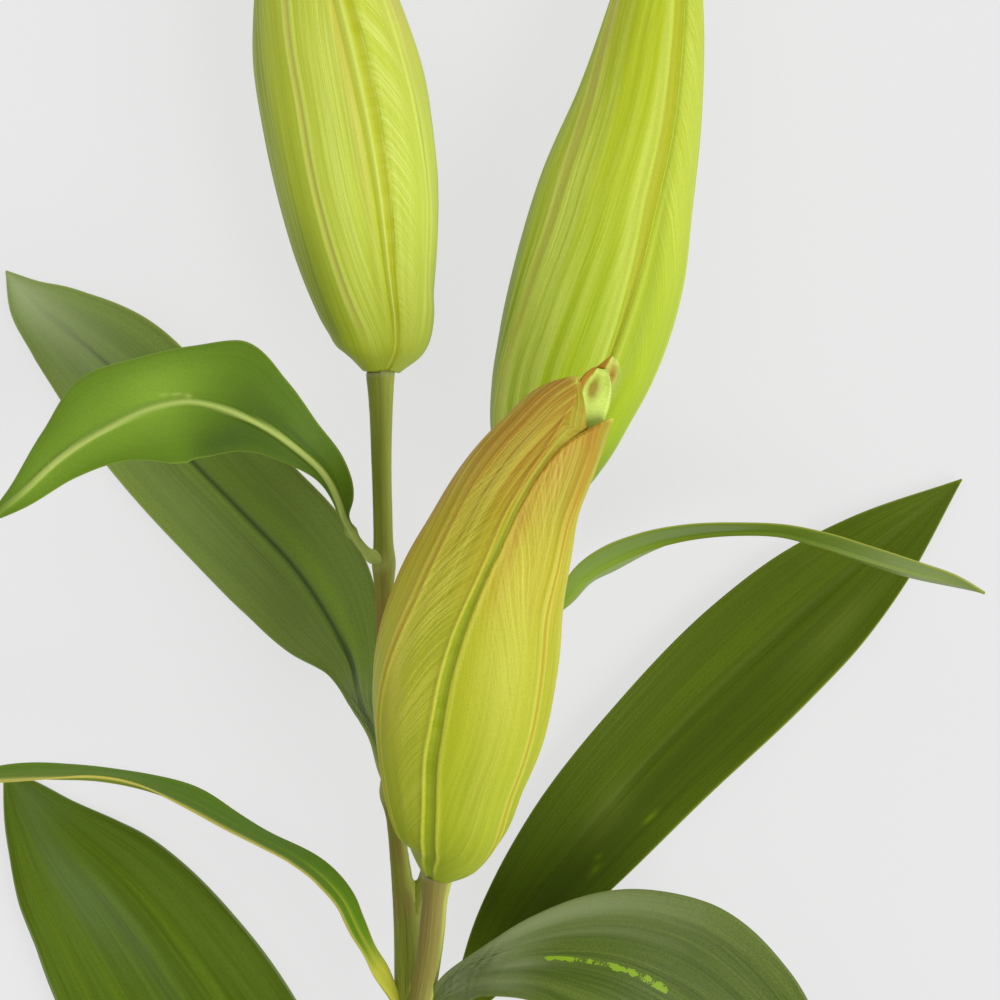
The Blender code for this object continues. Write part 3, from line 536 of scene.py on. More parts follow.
def outerTepal(bud, side, turn, material, net):
    rows, half = net
    last = tepalForm["tipRows"]
    tip = bud["tips"].get(side, {"end": 1, "flare": 0})
    end = tip["end"]
    along = end * np.linspace(0, 1, rows) ** 1.12
    along[-last:] = np.linspace(along[-last], end, last)
    t = along[:, None]
    axis = budAxis(bud, along)
    radius = axis["radius"][:, None]
    seam, seamHalf = seamAt(bud, along, radius)
    leftMargin, rightMargin = budMargins(bud, along, radius)
    low, high = {
        "left": (seam - 2 * sixth + seamHalf, leftMargin),
        "right": (rightMargin, seam + 2 * sixth - seamHalf),
        "back": (seam + 2 * sixth + seamHalf, seam + 4 * sixth - seamHalf),
    }[side]
    standing = 0
    if "turn" in tip:
        rise = np.maximum(0, t - tip["start"]) / (end - tip["start"])
        standing = tip["flare"] * rise**2
        narrowing = tepalForm["tipNarrowing"] * rise ** tip["power"]
        if side == "left":
            low = low + (tip["turn"] - 4 - low) * narrowing
        else:
            high = high + (tip["turn"] + 4 - high) * narrowing
    high = np.maximum(high, low + 4)
    centre, spread = 0.5 * (low + high), 0.5 * (high - low)

    # the columns stand closer beside the midrib and at the margins
    rib = ownCurve(bud["midribs"].get(side, ((0, centre[0, 0]), (1, centre[-1, 0]))), along)
    ribShare = np.clip((rib - centre) / spread, -0.75, 0.75)
    step = np.linspace(0, 1, half)
    zone = np.minimum(np.degrees(2.2 / np.maximum(radius, 1.5)) / spread, 0.18)
    left = -1 + (ribShare - zone + 1) * step[None, :-1]
    middle = ribShare - zone + 2 * zone * step[None, :-1]
    right = 1 - (1 - ribShare - zone) * (1 - step[None, :])
    across = np.concatenate([left, middle, right], axis=1)
    across = np.sign(across) * (1 - (1 - np.abs(across)) ** 1.12)
    leaning = 0.5 * (1 + across * (1 if side == "right" else -1))
    opening = standing * (leaning + (1 - leaning) * standing**4 / max(tip["flare"], 0.1) ** 4)
    degrees = centre + across * spread
    fromRib = np.radians(degrees - (centre + ribShare * spread)) * radius
    fromEdge = np.radians((1 - np.abs(across)) * spread) * radius

    # how far the skin rises: midrib, margins, ripples and the lobe at the foot
    body = fade(0, 0.14, t) * fade(0, 0.12, end - t)
    twin = hump(np.abs(fromRib) - tepalForm["twinSpacing"] - bud["midribWidth"], tepalForm["twinWidth"]) * body
    dip = hump(fromRib, bud["midribWidth"]) * body
    nearSeam = (across > 0 if side == "left" else across < 0) * 1
    drop, dropWidth = bud["edge"] if side != "back" else tepalForm["backEdge"]
    marginRidge = hump(fromEdge - 1.1 * dropWidth, 0.24 + 0.35 * dropWidth**2) * (0.2 + 0.8 * nearSeam)
    marginRidge = marginRidge * fade(0, 0.06, t) * fade(0, 0.1, end - t)
    ribHeight, marginHeight = bud["midribHeights"][side], bud["marginHeights"][side]
    lift = ribHeight * (twin - 0.5 * dip) + marginHeight * marginRidge
    lift = lift - drop * (1 - np.clip(fromEdge / dropWidth, 0, 1)) ** 2 * fade(0, 0.05, t)
    seed = int(bud["seed"]) + int(turn)
    lift = lift + body * 0.05 * rippleNoise(across * 15 + 0.6 * t, seed + 200, 7)
    lift = lift + body * 0.07 * rippleNoise(t * 16 + across * 3, seed + 300, 4)
    setBack, swelling = bud["lobes"][side]
    lobe = np.cos(0.5 * math.pi * across) ** 2
    lift = lift + swelling * hump(t - 0.065, 0.05) * lobe
    setBack = setBack * hump(t - 0.03, 0.032) * lobe**0.6
    thickness = wallAt(along / end) * np.clip(0.35 + fromEdge / 0.8, 0.35, 1)
    front = budPoints(axis, -lift, degrees, opening, setBack)
    back = budPoints(axis, thickness - np.minimum(lift, 0), degrees, opening, 0.5 * setBack)

    tints, grain = texturesAt(bud, t, degrees)
    inside = vectors(0, 0, np.ones_like(degrees))
    hood = bud.get("hoods", {}).get(f"outer_{side}")
    if hood:
        front = ledInto(front, hood, along, across, 0.8 * thickness)
        back = ledInto(back, hood, along, across, 0)
        # the hollow of the hood is darkened with brown: painted shade in the recess
        hollow = hump(t - 0.975, 0.02) * hump(across, 0.6)
        tints[..., 1] = np.clip(tints[..., 1] + hollow, 0, 1)
        inside = vectors(0, 0, 1 - fade(0.55, 0.75, across))
    marks = vectors(twin, dip * (ribHeight > 0.1), marginRidge * marginHeight / 0.42)
    feather = t * axis["length"] * 0.55 + 0.42 * fromEdge**1.35
    place = vectors(fromRib, t, feather)
    layers = {
        "place": (place, place), "marks": (marks, 0 * marks), "tints": (tints, tints), "grain": (grain, inside),
    }
    name = f"{bud['name']}_outer_tepal_{side}"
    shell(f"{name}_skin", front, back, layers, material, name)


def innerTepal(bud, side, turn, material, net):
    rows, columns = net
    frontTip = bud.get("frontTip") if side == "front" else None
    hood = bud.get("hoods", {}).get(f"inner_{side}")
    end = frontTip["end"] if frontTip else hood["rows"][-1][0] if hood else bud["stripEnd"]
    along = end * np.linspace(0, 1, rows)
    t = along[:, None]
    axis = budAxis(bud, along)
    radius = axis["radius"][:, None]
    seam, half = seamAt(bud, along, radius)
    centre = seam + turn
    if side == "front":
        low, high = budMargins(bud, along, radius)
        if frontTip:
            high = np.where(t > frontTip["margin"][0][0], ownCurve(frontTip["margin"], along), high)
        high = np.maximum(high, low + 2)
        centre, half = 0.5 * (low + high), 0.5 * (high - low)

    # the strip in the seam, and a wing on each side that runs on under the outer tepals
    top = half + np.degrees(tepalForm["tuck"] / np.maximum(radius, 1))
    wing = np.interp(along, (0, 0.1, 0.7, 0.86, 0.96), (34, 46, 46, 40, 10))[:, None]
    step = np.linspace(-1, 1, columns)[None, :]
    foot = top + 0.6
    beside = foot + np.maximum(wing - foot, 0.3) * np.linspace(0, 1, 5)[None, 1:]
    degrees = np.concatenate([-beside[:, ::-1], top * step, beside], axis=1)
    shown = np.pad(np.ones((rows, columns)), ((0, 0), (4, 4)))
    share = np.clip(degrees / half, -2, 2)
    ridge, groove = (
        sum((height * hump(share - place, width) for place, width, height in bud[key]), 0 * share)
        for key in ("stripRidges", "stripGrooves")
    )
    lift = (ridge - groove) * fade(0, 0.1, t) * fade(0, 0.12, end - t) - bud["edge"][0] * 0.7
    under = wallAt(along) + tepalForm["gap"]
    front = budPoints(axis, np.where(shown > 0, -lift, under), centre + degrees)
    back = budPoints(axis, under + tepalForm["innerWall"] + 0 * degrees, centre + degrees)

    tints, grain = texturesAt(bud, t, centre + degrees)
    inside = vectors(0, 0, np.ones_like(degrees))
    if hood:
        across = degrees / beside[:, -1:]
        front = ledInto(front, hood, along, across, 0.45)
        back = ledInto(back, hood, along, across, 0)
        rolled = fade(0.5, 0.7, across)
        # the hollow of the hood is darkened with olive and brown: painted shade in the recess; the rolled rim has its
        # own brown
        hollow = hump(t - 0.922, 0.018) * hump(across - 0.05, 0.3)
        tints = vectors(1.6 * hollow, 0.9 * rolled + 0.6 * hollow, 0)
        inside = vectors(0, 0, 1 - rolled)
    stripEdge = hump(np.abs(share) - 1, 0.14)
    marks = vectors(np.clip(ridge / 0.4, 0, 1), np.clip(groove / 0.3, 0, 1), stripEdge) * shown[..., None]
    place = vectors(np.radians(degrees) * radius, t, t * axis["length"] * 0.2)
    layers = {
        "place": (place, place), "marks": (marks, 0 * marks), "tints": (0.5 * tints, tints),
        "grain": (grain, inside),
    }
    name = f"{bud['name']}_inner_tepal_{side}"
    shell(f"{name}_skin", front, back, layers, material, name)


def tepalMaterial(bud, name, strip):
    material, tree, shader = newMaterial(name, 0.5, 0.22)
    look = tepalLook
    soft = ("blush", "pale", "groove", "inner")
    colors = {
        key: toned(value, bud["softTone" if key in soft else "tone"])
        for key, value in bud["colors"].items() if key != "along"
    }
    stops = [(place, toned(color, bud["tone"])) for place, *color in bud["colors"]["along"]]
    acrossMm, along, feather = readLayer(tree, "place")
    ridge, dip, margin = readLayer(tree, "marks")
    olive, blush, pale = readLayer(tree, "tints")
    fine, feathered, inside = readLayer(tree, "grain")
    ripe = softStep(tree, along, *look["ripe"]) if bud is frontBud else 0
    lines, broad = useGroup(tree, streakGroup, acrossMm, along, bud["streaks"], 2.2, bud["seed"])
    featherLines = useGroup(tree, streakGroup, feather, along, 2.2, 1.2, bud["seed"] + 5)[0]
    specks = useGroup(tree, speckGroup, acrossMm, times(tree, along, look["length"]), bud["seed"])[0]
    marginColor = mixColors(tree, ripe, colors["pale"], colors["groove"])
    coats = [
        (inside, 1, colors["inner"]),
        # olive streaks and patches: the bud's own olive, and on the left flank partly painted shade
        (broad, scaled(tree, olive, *look["oliveStreaks"]), colors["olive"]),
        (olive, 1, colors["olive"]),
        (blush, scaled(tree, broad, *look["blushStreaks"]), colors["blush"]),
        (pale, 1, colors["pale"]),
        # pale fine lines and feather strokes: partly the tepal's paler veins and partly painted highlight where the
        # fine ridges catch the light
        (lines, scaled(tree, fine, *look["lines"]), colors["pale"]),
        (featherLines, times(tree, feathered, look["feather"]), colors["pale"]),
        # pale along the crests of the ridges: partly their own paler colour and partly painted highlight
        (ridge, look["ridge"], marginColor),
        (dip, look["groove"], colors["stripGroove" if strip else "groove"]),
        # pale along the margin ridges: partly their own paler colour and partly painted highlight
        (margin, 0 if strip else look["margin"], marginColor),
        (specks, bud["specks"], colors["olive"]),
    ]
    if strip:
        coats.insert(0, (scaled(tree, ripe, *look["strip"]), 1, colors["strip"]))
    color = painted(tree, colorRamp(tree, along, stops), coats)
    height = times(tree, lines, scaled(tree, fine, *look["lineHeight"]))
    height = maths(tree, "ADD", height, times(tree, featherLines, feathered))
    finishMaterial(tree, shader, color, height, *look["bump"])
    return material


pistilLook = {"dark": (178, 186, 128), "light": (204, 206, 150), "speckle": (900, 3), "bump": (0.0001, 0.4)}


def makePistilMaterial():
    material, tree, shader = newMaterial("pistilSkin", 0.6, 0.3)
    place = addNode(tree, "TexCoord").outputs["Object"]
    speckle = noiseAt(tree, place, *pistilLook["speckle"])
    color = mixColors(tree, speckle, toned(pistilLook["dark"]), toned(pistilLook["light"]))
    finishMaterial(tree, shader, color, speckle, *pistilLook["bump"])
    return material


pistilMaterial = makePistilMaterial()
for bud in (leftBud, rightBud, frontBud):
    outerMaterial = tepalMaterial(bud, f"{bud['name']}OuterSkin", False)
    innerMaterial = tepalMaterial(bud, f"{bud['name']}StripSkin", True)
    for side, turn in (("left", -sixth), ("right", sixth), ("back", 3 * sixth)):
        outerTepal(bud, side, turn, outerMaterial, tepalForm["backNet" if side == "back" else "outerNet"])
    for side, turn in (("front", 0), ("right", 2 * sixth), ("left", -2 * sixth)):
        innerTepal(bud, side, turn, innerMaterial, tepalForm["stripNet" if side == "front" else "hiddenNet"])
    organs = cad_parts[f"{bud['name']}_stamens_and_pistil"]
    organs.data.materials.clear()
    organs.data.materials.append(pistilMaterial)
    print(bud["name"], "dressed")

# Rows are x, y, z, half width and roll, from foot to tip. A roll of 180 turns the underside up, and a roll on its
# own holds for all rows. The foot is where a leaf leaves its carrier. Collars and wrinkles are places, widths and
# depths. Spots are a place along, one across from -1 to 1, their widths and the strength. The greyish sheen spots
# are a painted sheen: a reflection on ridges, tips and edges laid on as colour.
# Dark spots are painted shade, where a blade bends away from the light or lies under the parts above it. Light spots
# are paler patches, veins and bands of a leaf's own colour, and on the left arched leaf painted light on its lit
# part.
leaves = [
    {
        "name": "leaf_left_behind", "foot": 36.5, "cup": 0.1, "look": "dull", "tone": (1.3, 1.28, 1),
        "rows": (
            (-4.6, 41.1, 13.8, 1, 0), (-6.3, 47.3, 11, 1.2, 10), (-8.8, 53.2, 8.2, 2.4, 20),
            (-10.7, 60.8, 6.2, 5.9, 10), (-14.3, 67.6, 5, 9.8, 0), (-20.4, 76.8, 4, 12.3, 0),
            (-30.3, 87.4, 3.2, 12.7, 0), (-40.4, 97.7, 2.8, 12.4, 0), (-55.8, 115.3, 2.2, 11, 0),
            (-64.1, 122.1, 2, 7.6, 0), (-69.5, 126.5, 1.8, 4.6, 0), (-74, 132, 1.6, 0.15, 0),
        ),
        "wrinkles": ((0.14, -0.1, 0.05, 0.9, 0.22),),
        "spots": {
            "paintedSheen": (
                (0.9, 0, 0.12, 0.7, 0.5), (0.97, 0, 0.06, 1, 0.4), (0.15, -0.2, 0.05, 0.9, 0.45),
                (0.62, -0.5, 0.2, 0.4, 0.12),
            ),
            "dark": ((0.4, 0.1, 0.3, 0.1, 0.4), (0.27, 0, 0.08, 0.12, 0.6), (0.84, 0.45, 0.08, 0.14, 0.35)),
            "light": ((0.33, 0.22, 0.2, 0.16, 0.85), (0.45, -0.1, 0.2, 0.08, 0.3), (0.3, 0.6, 0.2, 0.3, 0.25)),
        },
    },
    {
        "name": "leaf_left_arched",
        "foot": 78.5,
        "roll": 180,
        "footShare": 0.13,
        "look": "underside",
        "tone": (0.75, 0.79, 0.5),
        "rows": (
            (-7.4, 80.6, 18.5, 0.85), (-10.1, 84.2, 21.2, 0.8), (-11.5, 86.9, 22.8, 1), (-12.3, 89.5, 24.5, 1.9),
            (-14.8, 94.5, 28.5, 3.1), (-20.3, 99.6, 32, 4.9), (-25.8, 103.3, 33.5, 7.3), (-32.2, 106.1, 34.5, 10.7),
            (-38.7, 107.4, 34.5, 10.3), (-44.3, 106.5, 34, 9.9), (-53.8, 102.4, 32, 8.3), (-61.4, 97.7, 29.5, 5.2),
            (-69.2, 90.9, 27, 2.5), (-76.5, 85.5, 22, 0.15),
        ),
        "skews": (0, 0, 0.1, 0.9, 1.4, 1.4, 1.9, 1.9, -0.4, -0.5, 1.9, 0.7, 0, 0),
        "collars": ((0.035, 0.012, 0.5), (0.105, 0.01, 0.35)),
        "spots": {
            "light": (
                (0.7, 0, 0.16, 0.8, 0.75), (0.58, -0.2, 0.06, 0.6, 0.4), (0.56, -0.5, 0.08, 0.4, 0.3),
                (0.9, 0, 0.1, 1, 0.45),
            ),
            "dark": (
                (0.42, 0.2, 0.07, 0.9, 0.6), (0.47, 0.75, 0.06, 0.4, 0.45), (0.33, 0.5, 0.07, 0.5, 0.3),
                (0.3, -0.25, 0.1, 0.12, 0.4),
            ),
            "paintedSheen": (
                (0.571, -0.19, 0.005, 0.03, 0.9), (0.55, -0.15, 0.008, 0.025, 0.8), (0.531, -0.1, 0.005, 0.04, 0.8),
            ),
        },
    },
    {
        "name": "leaf_right_edgewise", "foot": 37.5, "look": "fresh", "tone": (0.88, 0.93, 0.52),
        "rows": (
            (0.3, 43.5, 16.6, 1, -60), (6.6, 51.6, 17.8, 1.3, -95), (13.9, 59.4, 18.6, 1.8, -100),
            (21.1, 66.6, 19.4, 4, -105), (28.6, 72.6, 20.2, 6.8, -105), (31.6, 76.2, 20.3, 8.5, -104),
            (35.8, 78.9, 20.7, 10, -104), (42.2, 81.8, 21, 10.8, -100), (48.6, 83.6, 21, 11.1, -96),
            (59.2, 84.8, 21, 10.8, -92), (67.7, 84.4, 21, 10, -93), (74, 82.7, 20.8, 9.2, -97),
            (82.5, 79.9, 20.5, 7.8, -101), (91, 77.3, 20.2, 5.8, -105), (98.5, 75.3, 19.6, 3.2, -108),
            (104, 73.4, 19, 0.15, -108),
        ),
        "spots": {
            "light": ((0.43, -0.2, 0.1, 0.8, 0.5),), "dark": ((0.6, 0, 0.12, 1, 0.7),),
            "paintedSheen": ((0.83, 0, 0.08, 1, 0.4), (0.93, 0, 0.08, 1, 0.45)),
        },
    },
    {
        "name": "leaf_right_behind", "foot": -15, "cup": 0.06, "look": "dark", "tone": (0.97, 0.97, 0.3),
        "rows": (
            (2.4, -12, 13.8, 1.1), (5.7, -7.9, 12.3, 1.4), (9.7, -2.7, 10.5, 2.4), (13.5, 3.5, 8.7, 4.6),
            (17.5, 9.8, 7.2, 6.6), (22, 16.1, 6, 8.2), (29.9, 26.1, 5, 10.2), (46.2, 44.3, 3.6, 11.9),
            (64.9, 62.5, 2.8, 12.4), (75.2, 71.7, 2.5, 11.2), (85.8, 80.8, 2.2, 7.9), (101.2, 93.8, 1.8, 0.15),
        ),
        "spots": {
            "paintedSheen": ((0.774, 0.5, 0.07, 0.2, 0.45), (0.404, 0.05, 0.04, 0.3, 0.3), (0.43, -0.1, 0.03, 0.2, 0.2)),
            "light": (
                (0.439, 0.6, 0.011, 0.04, 0.5), (0.346, 0.53, 0.008, 0.05, 0.4), (0.36, 0.42, 0.005, 0.04, 0.4),
                (0.5, -0.2, 0.3, 0.3, 0.05),
            ),
            "dark": ((0.55, 0.35, 0.25, 0.25, 0.6), (0.3, 0.3, 0.1, 0.4, 0.5)),
        },
    },
    {
        "name": "leaf_right_front",
        "foot": -2.5,
        "carrier": "frontStalk",
        "cup": 0.06,
        "footShare": 0.06,
        "look": "sheen",
        "tone": (0.7, 0.72, 0.5),
        "own": {"gloss": 0.14},
        "rows": (
            (4.6, 0.6, 21.4, 1.6), (7.6, 4, 25, 3.2), (11.2, 6.2, 28.6, 3.7), (16.6, 7.6, 31.5, 5.3),
            (22.6, 8.5, 33, 7.7), (30.1, 8.3, 33.5, 11.5), (37.5, 6.9, 33, 14.7), (45.8, 3.1, 31, 17.3),
            (55.9, -4.7, 27, 16.4), (65.1, -15.2, 21, 12.4), (72.6, -25.8, 15, 6.6), (77.5, -34.5, 10, 0.15),
        ),
        "skews": (-0.3, -1.7, -1.5, -0.8, -0.2, 0, 0, 0, 0, 0, 0, 0),
        "dashes": (0.285, 0.5), "wrinkles": ((0.19, -0.1, 0.05, 0.7, 0.14), (0.1, 0.4, 0.04, 0.8, 0.12)),
        "spots": {
            "paintedSheen": (
                (0.3, -0.82, 0.16, 0.2, 0.75), (0.2, -0.3, 0.07, 0.5, 0.6), (0.1, 0.1, 0.05, 1.2, 0.65),
                (0.2, 0.6, 0.06, 0.3, 0.5), (0.36, -0.45, 0.12, 0.08, 0.3), (0.24, 0.1, 0.05, 0.1, 0.45),
            ),
            "dark": ((0.45, -0.4, 0.2, 0.3, 0.35), (0.26, 0.4, 0.05, 0.3, 0.3)),
        },
    },
    {
        "name": "leaf_left_edgewise", "foot": -3.5, "look": "fresh", "tone": (1.06, 0.99, 0.64),
        "own": {
            "top": (100, 138, 44), "topDark": (76, 118, 22), "light": (206, 202, 120), "veins": 0.1, "gloss": 0.02,
            "roughness": 0.6,
        },
        "rows": (
            (-3, 1.6, 18.2, 1.2, 40), (-5.1, 5.5, 19.2, 1.4, 30), (-7.4, 9.8, 20.2, 1.7, 40),
            (-9.6, 14.2, 21, 3.2, 60), (-11.2, 17.6, 21.5, 4.4, 68), (-15.5, 22.6, 22, 7, 77),
            (-20.7, 26.4, 23, 9, 83), (-26, 29.3, 23.6, 10, 85), (-31.7, 32.3, 24, 10.4, 85),
            (-39.4, 36.4, 24, 10.6, 84), (-47.1, 39.2, 23.8, 10.3, 86), (-54.9, 40.7, 23.5, 9.6, 86),
            (-63.6, 41, 22.5, 8.4, 84), (-71.5, 40.8, 20.5, 7, 82), (-92.9, 36.6, 15.5, 0.15, 80),
        ),
        "collars": ((0.085, 0.03, 0.4),),
        "spots": {
            "light": ((0.45, -0.95, 0.4, 0.2, 0.9), (0.95, -0.9, 0.3, 0.3, 0.9)),
            "paintedSheen": ((0.72, 0.1, 0.14, 0.6, 0.16),),
        },
    },
    {
        "name": "leaf_left_broad", "foot": -54.5, "look": "dark", "tone": (1.07, 1.1, 2.1),
        "own": {"gloss": 0.04, "veins": 0.36},
        "rows": (
            (-4.3, -50.3, 10.2, 1.6), (-9.3, -45.9, 8.2, 4.9), (-14.8, -40.1, 6.4, 9.5), (-20.7, -33.5, 5.2, 13.7),
            (-26.8, -25.5, 4.4, 16.8), (-32.8, -17.2, 3.8, 18.5), (-44.4, -0.4, 3.1, 18.9), (-55.8, 16, 2.6, 15.4),
            (-62, 23.3, 2.4, 12.1), (-67.2, 30.1, 2.1, 7.7), (-71.4, 36.3, 1.9, 3.7), (-74.4, 40.5, 1.7, 0.15),
        ),
        "spots": {
            "paintedSheen": ((0.8, -0.2, 0.12, 0.2, 0.2), (0.7, 0.05, 0.14, 0.12, 0.14), (0.94, 0.3, 0.05, 0.5, 0.15)),
            "light": (
                (0.6, -0.4, 0.3, 0.05, 0.16), (0.6, 0.4, 0.3, 0.05, 0.16), (0.6, 0.12, 0.3, 0.04, 0.14),
                (0.6, -0.68, 0.3, 0.05, 0.12),
            ),
        },
    },
    {
        "name": "leaf_lower_right_flat", "foot": -72, "look": "dull",
        "rows": (
            (3, -69, 9.6, 1.3), (10, -66.5, 7.2, 2.8), (24, -64.5, 4.4, 8.5), (44, -64, 3, 12.5),
            (66, -62, 2.3, 11.5), (86, -56.5, 1.9, 6.5), (102, -49, 1.6, 0.15),
        ),
    },
    {
        "name": "leaf_lower_left_flat", "foot": -90, "look": "dark",
        "rows": (
            (-6.5, -87, 8, 1.3), (-13, -83.5, 6, 3.2), (-26, -77, 4, 9), (-44, -68.5, 2.8, 12.5),
            (-62, -57, 2.2, 11.5), (-78, -43.5, 1.8, 6.5), (-91, -29, 1.6, 0.15),
        ),
    },
    {
        "name": "leaf_lower_front", "foot": -104, "cup": 0.12, "look": "sheen",
        "rows": (
            (-0.6, -99.5, 14, 1.2), (1.5, -92, 22, 2.2), (5.5, -79, 29.5, 6.5), (10.5, -61, 33.5, 10),
            (15.5, -43, 33, 8.6), (19, -29, 29.5, 4.6), (21.5, -18, 25, 0.15),
        ),
    },
    {
        "name": "leaf_lower_left_arched", "foot": -122, "cup": 0.12, "look": "dull",
        "rows": (
            (-6.5, -119, 11.5, 1.2), (-13, -115, 18, 2.6), (-27, -108.5, 26, 7.5), (-46, -102.5, 28.5, 10.5),
            (-66, -100.5, 24.5, 9), (-82, -102.5, 17, 4.8), (-93, -107, 10, 0.15),
        ),
    },
    {
        "name": "leaf_lower_right_arched", "foot": -138, "cup": 0.12, "look": "dark",
        "rows": (
            (2.2, -135, 11, 1.2), (9, -130, 18, 2.6), (23, -120.5, 26.5, 7.5), (42, -111.5, 30, 10.5),
            (62, -107.5, 26.5, 9), (78, -108.5, 19, 4.8), (90, -113, 12, 0.15),
        ),
    },
    {
        "name": "leaf_lowest_left", "foot": -158, "look": "dull",
        "rows": (
            (-6.5, -156, 5.4, 1.3), (-14, -152.5, 4.2, 3.2), (-30, -146, 3, 8.5), (-50, -138, 2.3, 11),
            (-69, -130.5, 1.9, 9), (-84, -126, 1.7, 4.4), (-95, -124, 1.6, 0.15),
        ),
    },
]
leafDefaults = {  # what a leaf has unless it says otherwise
    "carrier": "main", "cup": 0.05, "roll": 0, "footShare": 0.16, "tone": (1.1, 1.12, 1), "own": {}, "skews": (),
    "collars": (), "wrinkles": (), "dashes": (2, 2), "spots": {"paintedSheen": ((0.85, 0, 0.12, 0.8, 0.25),)},
}
# colours, the shares of veins, specks and midrib, the midrib's width in mm, and the shine; the ninth colour is the
# greyish colour of a painted sheen
lookKeys = (
    "top", "topDark", "vein", "margin", "midrib", "petiole", "under", "light", "paintedSheen", "veins", "specks", "rib",
    "ribWidth", "gloss", "roughness",
)
leafLooks = {
    "dull": (
        (100, 120, 52), (72, 92, 20), (124, 146, 62), (146, 160, 96), (42, 60, 6), (132, 148, 84), (110, 138, 60),
        (108, 136, 28), (146, 160, 128), 0.25, 0.3, 0.95, 0.55, 0.28, 0.42,
    ),
    "underside": (
        (90, 116, 34), (58, 82, 4), (118, 146, 48), (158, 180, 88), (192, 206, 130), (222, 232, 160), (96, 128, 24),
        (142, 176, 66), (190, 204, 120), 0.16, 0.1, 1, 0.62, 0.16, 0.45,
    ),
    "fresh": (
        (112, 138, 44), (96, 118, 24), (132, 158, 62), (164, 160, 84), (150, 158, 70), (172, 178, 78), (108, 132, 40),
        (146, 174, 78), (158, 172, 122), 0.2, 0.12, 0.5, 0.5, 0.2, 0.42,
    ),
    "dark": (
        (76, 94, 12), (58, 74, 0), (92, 114, 24), (138, 152, 80), (64, 80, 16), (140, 150, 76), (96, 120, 50),
        (122, 150, 8), (104, 120, 72), 0.3, 0.22, 0.3, 0.9, 0.1, 0.45,
    ),
    "sheen": (
        (82, 102, 28), (66, 84, 14), (128, 146, 74), (130, 146, 92), (96, 116, 36), (120, 134, 84), (100, 124, 56),
        (146, 180, 44), (150, 160, 132), 0.4, 0.42, 0.35, 0.4, 0.3, 0.4,
    ),
}
leafLooks = {name: dict(zip(lookKeys, look)) for name, look in leafLooks.items()}
# Rows are x, y, z and radius. Blush is a route's number, y, width and strength.
stemForm = {
    "main": (
        (-0.6, -236, 2.3, 2.75), (-1.7, -184, 4.4, 2.7), (-2.4, -129, 7.2, 2.65), (-2, -74, 11, 2.6),
        (-0.8, -28, 14.5, 2.55), (-0.1, 0, 16, 2.5), (-0.2, 13, 16, 2.5), (-0.9, 19.5, 15.8, 2.1),
        (-1.7, 26, 15.5, 1.75), (-3.2, 43, 15.2, 1.8), (-4.1, 58, 15, 1.8), (-4.5, 81, 15, 1.8), (-4.9, 98, 15, 1.9),
        (-5, 108.5, 15, 2.3), (-5.1, 113.4, 15, 2.7),
    ),
    "rightStalk": (
        (-0.3, 12, 16, 1.7), (1, 15.5, 15.7, 1.7), (3.3, 21, 15, 1.75), (6, 32, 13.2, 1.75), (10.4, 48.3, 12.2, 1.8),
        (16, 66.4, 12.5, 1.9), (20.5, 79.1, 13.9, 2.2), (22.85, 88.1, 14.6, 2.7),
    ),
    "frontStalk": (
        (0.2, -9, 16.4, 2), (1.6, -3.7, 18.3, 2.2), (3.1, 3.7, 21.2, 2.3), (4.4, 13, 25, 2.35), (5, 19.6, 27.6, 2.4),
        (5.4, 23.4, 29, 3),
    ),
    "blush": ((0, 70, 8, 0.85), (0, 27, 4.5, 0.7), (0, 17.5, 3, 0.6), (0, 41, 4, 0.25), (2, 14, 12, 0.5)),
    "nodeSwelling": 0.45,
    "nodeHalfLength": 2.6,
    "voxel": 0.42,
    "cutPoint": (-0.6, -236.2, 8.04),
    "cutNormal": (0, 0.819, 0.574),
}
# the stem's first two colours are painted shade on its left side and painted light on its right side, towards the
# lamp
stemLook = {
    "paintedShadeSide": (116, 126, 26), "paintedLitSide": (186, 194, 88), "streak": (150, 156, 68), "blush": (132, 100, 54),
    "frontStalk": (124, 108, 56), "node": (172, 176, 96), "collar": (176, 180, 132), "cut": (190, 196, 140),
}
leafForm = {  # in mm, apart from the counts and the foot's share
    "blade": 0.5, "edge": 0.28, "foot": 2.2, "wave": 0.35, "groove": 0.28, "grooveWidth": 0.55, "rib": 0.5,
    "dashWidth": 0.26, "net": (140, 51), "lowerNet": (90, 31),
}
leafShares = {"mottle": 0.7, "clouds": 0.3, "wide": 0.8, "ragged": (0.42, 0.5), "bump": (0.00006, 0.5)}


def routeAt(route, y):
    route = np.asarray(route, float)
    return smoothThrough(route[:, 1], route, np.atleast_1d(y))


